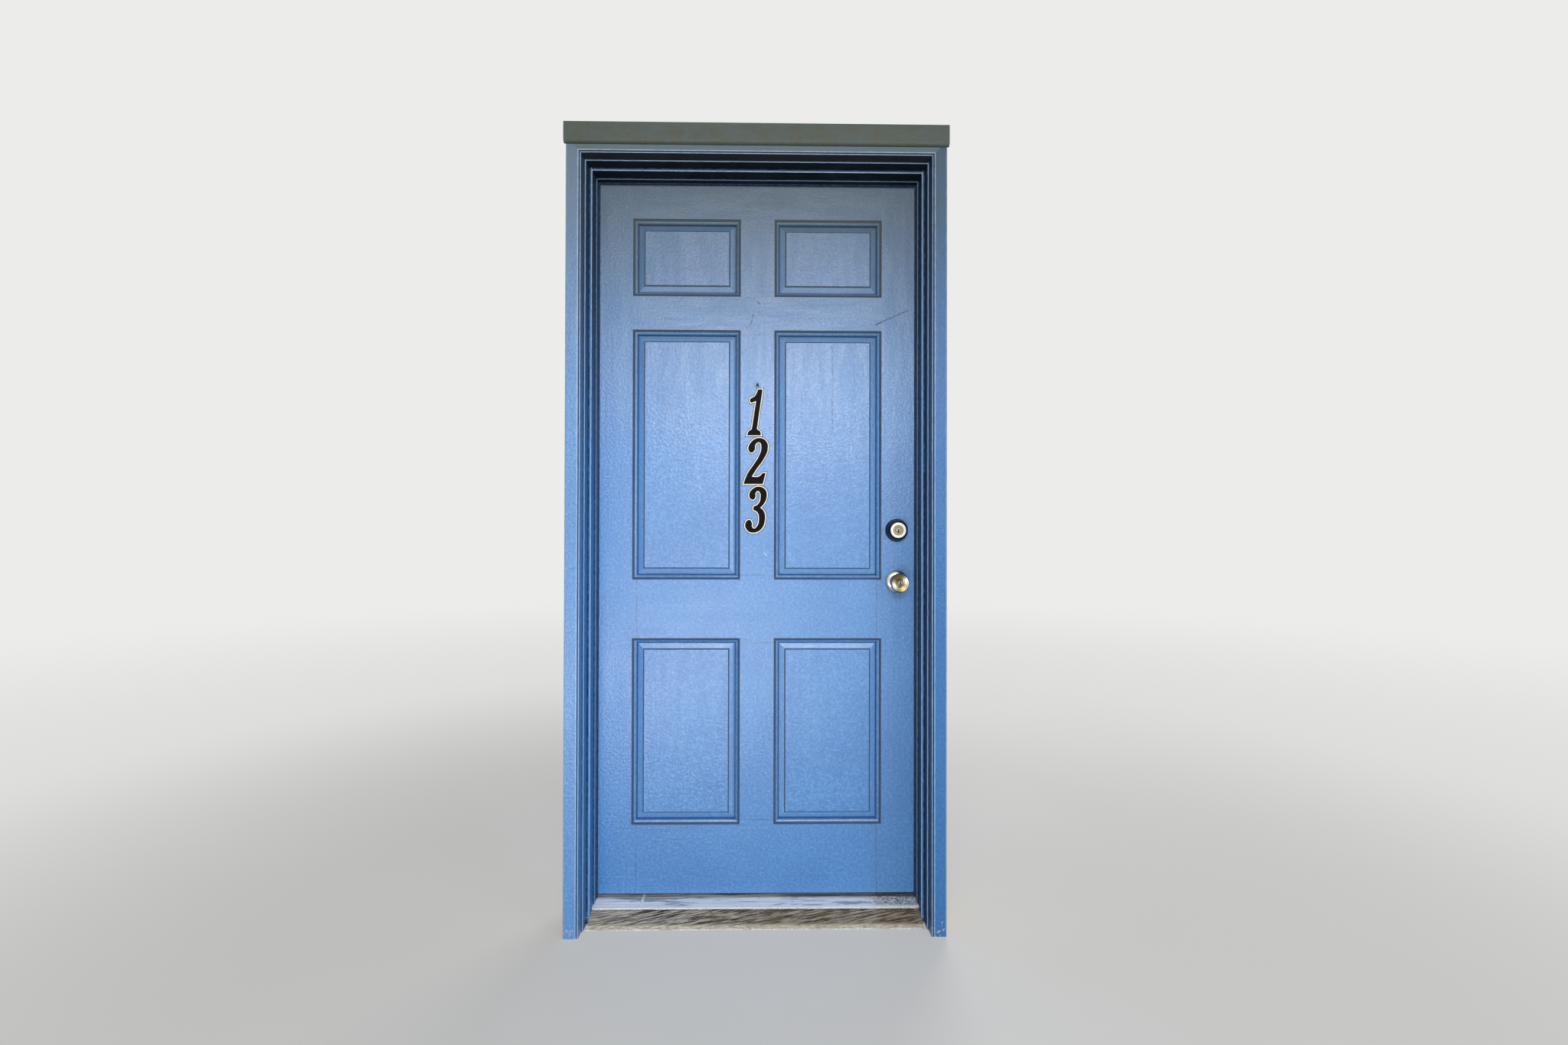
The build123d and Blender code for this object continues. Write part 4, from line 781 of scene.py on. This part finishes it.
# Numerals: black on a cream edge, with a thin black line round it
sheet = {"grain_mm": 5.0, "depth_mm": 0.05}
numeral_black = plastic("Black enamel on cut sheet", "#020203", "#060608", 0.55, shine=0.08, **sheet)
numeral_cream = plastic("Cream enamel edge", "#f4ecd8", "#fffaee", 0.50, **sheet)
# Each layer's name, how far it is grown past the outline, how thick it stands, and its finish
LAYERS = (
    ("rim", 5.9, 0.8, numeral_black),
    ("edge", 4.5, 1.3, numeral_cream),
    ("face", 1.9, 1.8, numeral_black),
)
for figure, (outline, height) in enumerate(zip(NUMERALS, NUMERAL_HEIGHTS), start=1):
    for layer, grow, thick, finish in LAYERS:
        mesh = numeral_layer(outline, grow, thick, height)
        place_piece(f"numeral_{figure}_{layer}", mesh, finish, "leaf")


def screw_head(radius_mm):
    """Countersunk screw head with a crossed recess, facing +Z, its rim at the origin's level."""
    sides = 32
    arm, wide, deep = 0.56 * radius_mm, 0.15 * radius_mm, 0.34 * radius_mm
    recess = [(wide, wide), (wide, arm), (-wide, arm), (-wide, wide), (-arm, wide), (-arm, -wide)]
    recess += [(-wide, -wide), (-wide, -arm), (wide, -arm), (wide, -wide), (arm, -wide), (arm, wide)]
    turns = [math.tau * i / sides for i in range(sides)]
    corners = len(recess)
    # The recess narrows towards its floor, and the head tapers to half its width below the plate
    narrows, tapers = 0.55, 0.5
    work = bmesh.new()
    rim = [work.verts.new((radius_mm * math.cos(a), radius_mm * math.sin(a), 0)) for a in turns]
    mouth = [work.verts.new((x, y, 0)) for x, y in recess]
    floor = [work.verts.new((x * narrows, y * narrows, -deep)) for x, y in recess]
    shank = [work.verts.new((v.co.x * tapers, v.co.y * tapers, -0.45 * radius_mm)) for v in rim]
    edges = [work.edges.new((rim[i], rim[(i + 1) % sides])) for i in range(sides)]
    edges += [work.edges.new((mouth[i], mouth[(i + 1) % corners])) for i in range(corners)]
    bmesh.ops.triangle_fill(work, edges=edges, use_beauty=True)
    for i in range(corners):
        work.faces.new((mouth[i], mouth[(i + 1) % corners], floor[(i + 1) % corners], floor[i]))
    work.faces.new(floor)
    for i in range(sides):
        work.faces.new((rim[(i + 1) % sides], rim[i], shank[i], shank[(i + 1) % sides]))
    bmesh.ops.recalc_face_normals(work, faces=work.faces)
    bmesh.ops.scale(work, vec=(MM, MM, MM), verts=work.verts)
    mesh = bpy.data.meshes.new("screw head")
    work.to_mesh(mesh)
    work.free()
    holder = bpy.data.objects.new("screw head", mesh)
    bpy.context.scene.collection.objects.link(holder)
    return holder


def screw_tree():
    """Geometry nodes: one screw head on every point, along its facing, each turned a little differently."""
    tree, given = open_group(
        "Screws on points",
        "GeometryNodeTree",
        (
            ("Points", "NodeSocketGeometry"),
            ("Screw head", "NodeSocketObject"),
            ("Turn seed", "NodeSocketInt"),
            ("Finish", "NodeSocketMaterial"),
        ),
        ("Screws", "NodeSocketGeometry"),
    )
    looks = add(tree, "GeometryNodeInputNamedAttribute", {"Name": "facing"}, data_type="FLOAT_VECTOR")
    head_size = add(tree, "GeometryNodeInputNamedAttribute", {"Name": "size"}, data_type="FLOAT")
    aligned = add(tree, "FunctionNodeAlignRotationToVector", {"Vector": looks.outputs[0]}, axis="Z")
    random = add(tree, "FunctionNodeRandomValue", {"Seed": given["Turn seed"]}, data_type="FLOAT")
    random.inputs[3].default_value = math.tau
    spin = add(tree, "FunctionNodeAxisAngleToRotation", {"Axis": (0, 0, 1), "Angle": random.outputs[1]})
    turned = add(
        tree,
        "FunctionNodeRotateRotation",
        {"Rotation": aligned.outputs[0], "Rotate By": spin.outputs[0]},
        rotation_space="LOCAL",
    )
    head = add(tree, "GeometryNodeObjectInfo", {"Object": given["Screw head"]})
    heads = add(
        tree,
        "GeometryNodeInstanceOnPoints",
        {
            "Points": given["Points"],
            "Instance": head.outputs["Geometry"],
            "Rotation": turned.outputs[0],
            "Scale": head_size.outputs[0],
        },
    )
    real = add(tree, "GeometryNodeRealizeInstances", {"Geometry": heads.outputs[0]})
    dressed = add(tree, "GeometryNodeSetMaterial", {"Geometry": real.outputs[0], "Material": given["Finish"]})
    out = add(tree, "NodeGroupOutput")
    tree.links.new(dressed.outputs[0], out.inputs[0])
    return tree


def screws(name, places, finish, body, head, tree, seed):
    """One mesh of screws: each place is x, y, z, the way it faces, and its head's share of full size."""
    points = bpy.data.meshes.new(name)
    points.from_pydata([Vector(spot) * MM for spot, _, _ in places], [], [])
    looks = points.attributes.new("facing", "FLOAT_VECTOR", "POINT")
    looks.data.foreach_set("vector", [part for _, way, _ in places for part in way])
    size = points.attributes.new("size", "FLOAT", "POINT")
    size.data.foreach_set("value", [share for _, _, share in places])
    holder = bpy.data.objects.new(name, points)
    bpy.context.scene.collection.objects.link(holder)
    on_points = holder.modifiers.new("screws", "NODES")
    on_points.node_group = tree
    sockets = {item.name: item.identifier for item in tree.interface.items_tree if item.in_out == "INPUT"}
    on_points[sockets["Screw head"]] = head
    on_points[sockets["Turn seed"]] = seed
    on_points[sockets["Finish"]] = finish
    bpy.context.view_layer.update()
    mesh = bpy.data.meshes.new_from_object(holder.evaluated_get(bpy.context.evaluated_depsgraph_get()))
    bpy.data.objects.remove(holder)
    place_piece(name, mesh, finish, body)


# Screw places follow the countersinks of the hinge plates, faceplates and strikes
HINGE_FEET = [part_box(f"{height}_hinge_leaf_plate")[0].z / MM for height in HEIGHTS]
# Height over the plate's foot, and distance from the leaf's inside face
HINGE_SCREWS = ((9.0, 11.0), (51.0, 23.5), (93.0, 11.0))
PLATE_SCREW_RISE = 20.5
SET_IN = 0.25
# The hinges' screws are the larger ones, and the lock plates' are a share of them
SCREW_RADIUS = 4.4
HINGE_SHARE, LOCK_SHARE = 1.0, 0.78
inner = LEAF_HIGH.y / MM
mid = (LEAF_LOW.y + LEAF_HIGH.y) / 2 / MM
frame_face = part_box("hinge_jamb")[1].x / MM
leaf_face = LEAF_LOW.x / MM
frame_screws, leaf_screws = [], []
for foot in HINGE_FEET:
    for rise, setback in HINGE_SCREWS:
        frame_screws.append(((frame_face - SET_IN, inner - setback, foot + rise), (1, 0, 0), HINGE_SHARE))
        leaf_screws.append(((leaf_face + SET_IN, inner - setback, foot + rise), (-1, 0, 0), HINGE_SHARE))
for plate in ("latch", "deadbolt"):
    low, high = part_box(f"{plate}_faceplate")
    centre = (low.z + high.z) / 2 / MM
    for rise in (-PLATE_SCREW_RISE, PLATE_SCREW_RISE):
        leaf_screws.append(((LEAF_HIGH.x / MM - SET_IN, mid, centre + rise), (1, 0, 0), LOCK_SHARE))
        frame_screws.append(((-frame_face + SET_IN, mid, centre + rise), (-1, 0, 0), LOCK_SHARE))
screw_steel = metal("Zinc-plated screw", "#8d8c88", "#bdbbb5", 0.30, 0.8, 0.01, smear=0.4)
head_shape = screw_head(SCREW_RADIUS)
tree_of_screws = screw_tree()
screws("frame_screws", frame_screws, screw_steel, "frame", head_shape, tree_of_screws, 3)
screws("leaf_screws", leaf_screws, screw_steel, "leaf", head_shape, tree_of_screws, 8)
bpy.data.objects.remove(head_shape)


def bead(name, start_x, end_x, corner_y, corner_z, size_mm, breaks, seed):
    """A hand-run bead of caulk along X in an inner corner, facing the street, with gaps where it has gone."""
    work = bmesh.new()
    # Rows 5 mm apart, each a quarter round of six facets
    step, facets = 5.0, 6
    turns = [math.pi / 2 * i / facets for i in range(facets + 1)]
    rows = []
    count = int((end_x - start_x) / step)
    for index in range(count + 1):
        x = start_x + step * index
        if any(low < x < high for low, high in breaks):
            rows.append(None)
            continue
        # Three waves of unlike length make the hand's unevenness
        wave = math.sin(x * 0.043 + seed) + 0.6 * math.sin(x * 0.171 + 2 * seed) + 0.4 * math.sin(x * 0.53)
        size = size_mm * (1 + 0.22 * wave)
        ring = [(0.0, 0.0)] + [(-size * math.cos(a), size * math.sin(a)) for a in turns]
        rows.append([work.verts.new((x * MM, (corner_y + y) * MM, (corner_z + z) * MM)) for y, z in ring])
    for before, after in zip([None] + rows, rows + [None]):
        if before and after:
            for i in range(len(before)):
                j = (i + 1) % len(before)
                work.faces.new((before[i], before[j], after[j], after[i]))
        elif before or after:
            work.faces.new(before or after)
    bmesh.ops.recalc_face_normals(work, faces=work.faces)
    mesh = bpy.data.meshes.new(name)
    work.to_mesh(mesh)
    work.free()
    for face in mesh.polygons:
        face.use_smooth = len(face.vertices) == 4
    return mesh


# Caulk: a white bead in the corner of the saddle and the sill, and remains along the foot of the sill
caulk = plastic("Old white caulk", "#b9bcbb", "#e2e4e2", 0.62, grain_mm=7.0, depth_mm=0.4)
saddle_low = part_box("threshold_saddle")[0] / MM
sill_low, sill_high = (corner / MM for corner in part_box("wood_sill"))
# The first bead runs nearly from stop to stop, the second nearly the length of the sill
stop_side, short_of_end = 445.5, 3
saddle_gaps = [(-310, -285), (-120, -96)]
foot_gaps = [(-420, -390), (-250, -228), (-31, -16), (150, 171), (330, 352)]
foot_start, foot_end = sill_low.x + short_of_end, sill_high.x - short_of_end
for name, start_x, end_x, corner_y, corner_z, size_mm, gaps, seed in (
    ("caulk_at_saddle", -stop_side, stop_side, saddle_low.y, sill_high.z, 2.2, saddle_gaps, 1.0),
    ("caulk_at_foot", foot_start, foot_end, sill_low.y, 0.0, 2.6, foot_gaps, 2.3),
):
    run = bead(name, start_x, end_x, corner_y, corner_z, size_mm, gaps, seed)
    place_piece(name, run, caulk, "frame")


def seen_directly(tree):
    """1 for what the camera, a mirror or a glass shows, 0 for the light that a surface receives."""
    path = add(tree, "ShaderNodeLightPath").outputs
    seen = maths(tree, "MAXIMUM", path["Is Camera Ray"], path["Is Glossy Ray"])
    return maths(tree, "MAXIMUM", seen, path["Is Transmission Ray"])


def studio():
    """Pale floor that runs into pale surroundings, and soft lamps in front, to the right and behind."""
    surroundings = colour("#ececea")
    made, tree, place = material("Pale floor")
    cloud = noise(tree, place, 900.0, detail=2.0)
    tone = blend(tree, ramp(tree, cloud, 0.3, 0.7), colour("#cfcfcd"), colour("#d4d4d2"))
    finish_material(made, tree, tone, 0.7)
    lit = tree.nodes["Principled BSDF"]
    # Near the door the floor shows its light and shadow; metres away it turns into the surroundings
    away = vector(tree, "LENGTH", place, out="Value")
    share = times(tree, seen_directly(tree), ramp(tree, away, 0.8, 3.4, 0.45, 1.0))
    shade = blend(tree, ramp(tree, away, 1.0, 9.0), colour("#dadad8"), surroundings)
    pale = add(tree, "ShaderNodeEmission", {"Color": shade, "Strength": 1.0})
    both = add(tree, "ShaderNodeMixShader", {0: share, 1: lit.outputs[0], 2: pale.outputs[0]})
    tree.links.new(both.outputs[0], tree.nodes["Material Output"].inputs[0])
    floor_mesh = bpy.data.meshes.new("floor")
    reach = 14.0
    corners = [(-reach, -reach, 0), (reach, -reach, 0), (reach, reach, 0), (-reach, reach, 0)]
    floor_mesh.from_pydata(corners, [], [(0, 1, 2, 3)])
    floor_mesh.materials.append(made)
    floor = bpy.data.objects.new("floor", floor_mesh)
    bpy.context.scene.collection.objects.link(floor)

    world = bpy.data.worlds.new("Pale surroundings")
    bpy.context.scene.world = world
    world.use_nodes = True
    tree = world.node_tree
    tree.nodes.clear()
    fill = add(tree, "ShaderNodeBackground", {"Color": colour("#f4f6fa"), "Strength": 0.07})
    shown = add(tree, "ShaderNodeBackground", {"Color": surroundings, "Strength": 1.0})
    ways = {0: seen_directly(tree), 1: fill.outputs[0], 2: shown.outputs[0]}
    final = add(tree, "ShaderNodeMixShader", ways)
    out = add(tree, "ShaderNodeOutputWorld")
    tree.links.new(final.outputs[0], out.inputs[0])

    # Name, place, what it faces, width, height, watts, and spread in degrees
    lamps = [
        ("Broad window in front", (-0.50, -3.2, 1.10), (-0.2, 0.0, 1.1), 2.4, 1.5, 6.5, 180),
        ("High window", (0.0, -3.2, 2.34), (0.0, 0.0, 1.4), 1.6, 0.54, 57.0, 180),
        ("Bright paving", (-0.45, -2.3, 0.22), (-0.2, 0.0, 0.7), 1.3, 0.20, 9.7, 140),
        ("Broad key from the right", (2.9, -2.9, 1.3), (-0.5, 0.0, 0.7), 2.0, 1.6, 11.0, 80),
        ("Fill behind", (1.4, 3.4, 2.4), (0.0, 0.0, 1.0), 2.2, 2.0, 90.0, 180),
    ]
    for name, spot, target, width, tall, power, spread in lamps:
        light = bpy.data.lights.new(name, "AREA")
        light.shape = "RECTANGLE"
        light.size = width
        light.size_y = tall
        light.energy = power
        light.spread = math.radians(spread)
        lamp = bpy.data.objects.new(name, light)
        lamp.location = spot
        lamp.rotation_euler = (Vector(target) - Vector(spot)).to_track_quat("-Z", "Y").to_euler()
        lamp.visible_camera = False
        bpy.context.scene.collection.objects.link(lamp)


def camera():
    """The photograph's camera: wide, close, a touch turned and tilted."""
    lens = bpy.data.cameras.new("camera")
    lens.sensor_fit = "HORIZONTAL"
    lens.sensor_width = SENSOR_MM
    lens.lens = SENSOR_MM * FOCAL_PX / PHOTO_WIDTH
    lens.shift_x = SHIFT_PX / PHOTO_WIDTH
    made = bpy.data.objects.new("camera", lens)
    turn = Euler((math.radians(90 + PITCH_UP), 0, math.radians(-YAW_RIGHT))).to_matrix().to_4x4()
    roll = Matrix.Rotation(math.radians(ROLL_LEFT), 4, "Z")
    made.matrix_world = Matrix.Translation(EYE) @ turn @ roll
    bpy.context.scene.collection.objects.link(made)
    bpy.context.scene.camera = made


studio()
camera()
bpy.context.scene.view_settings.view_transform = "Standard"
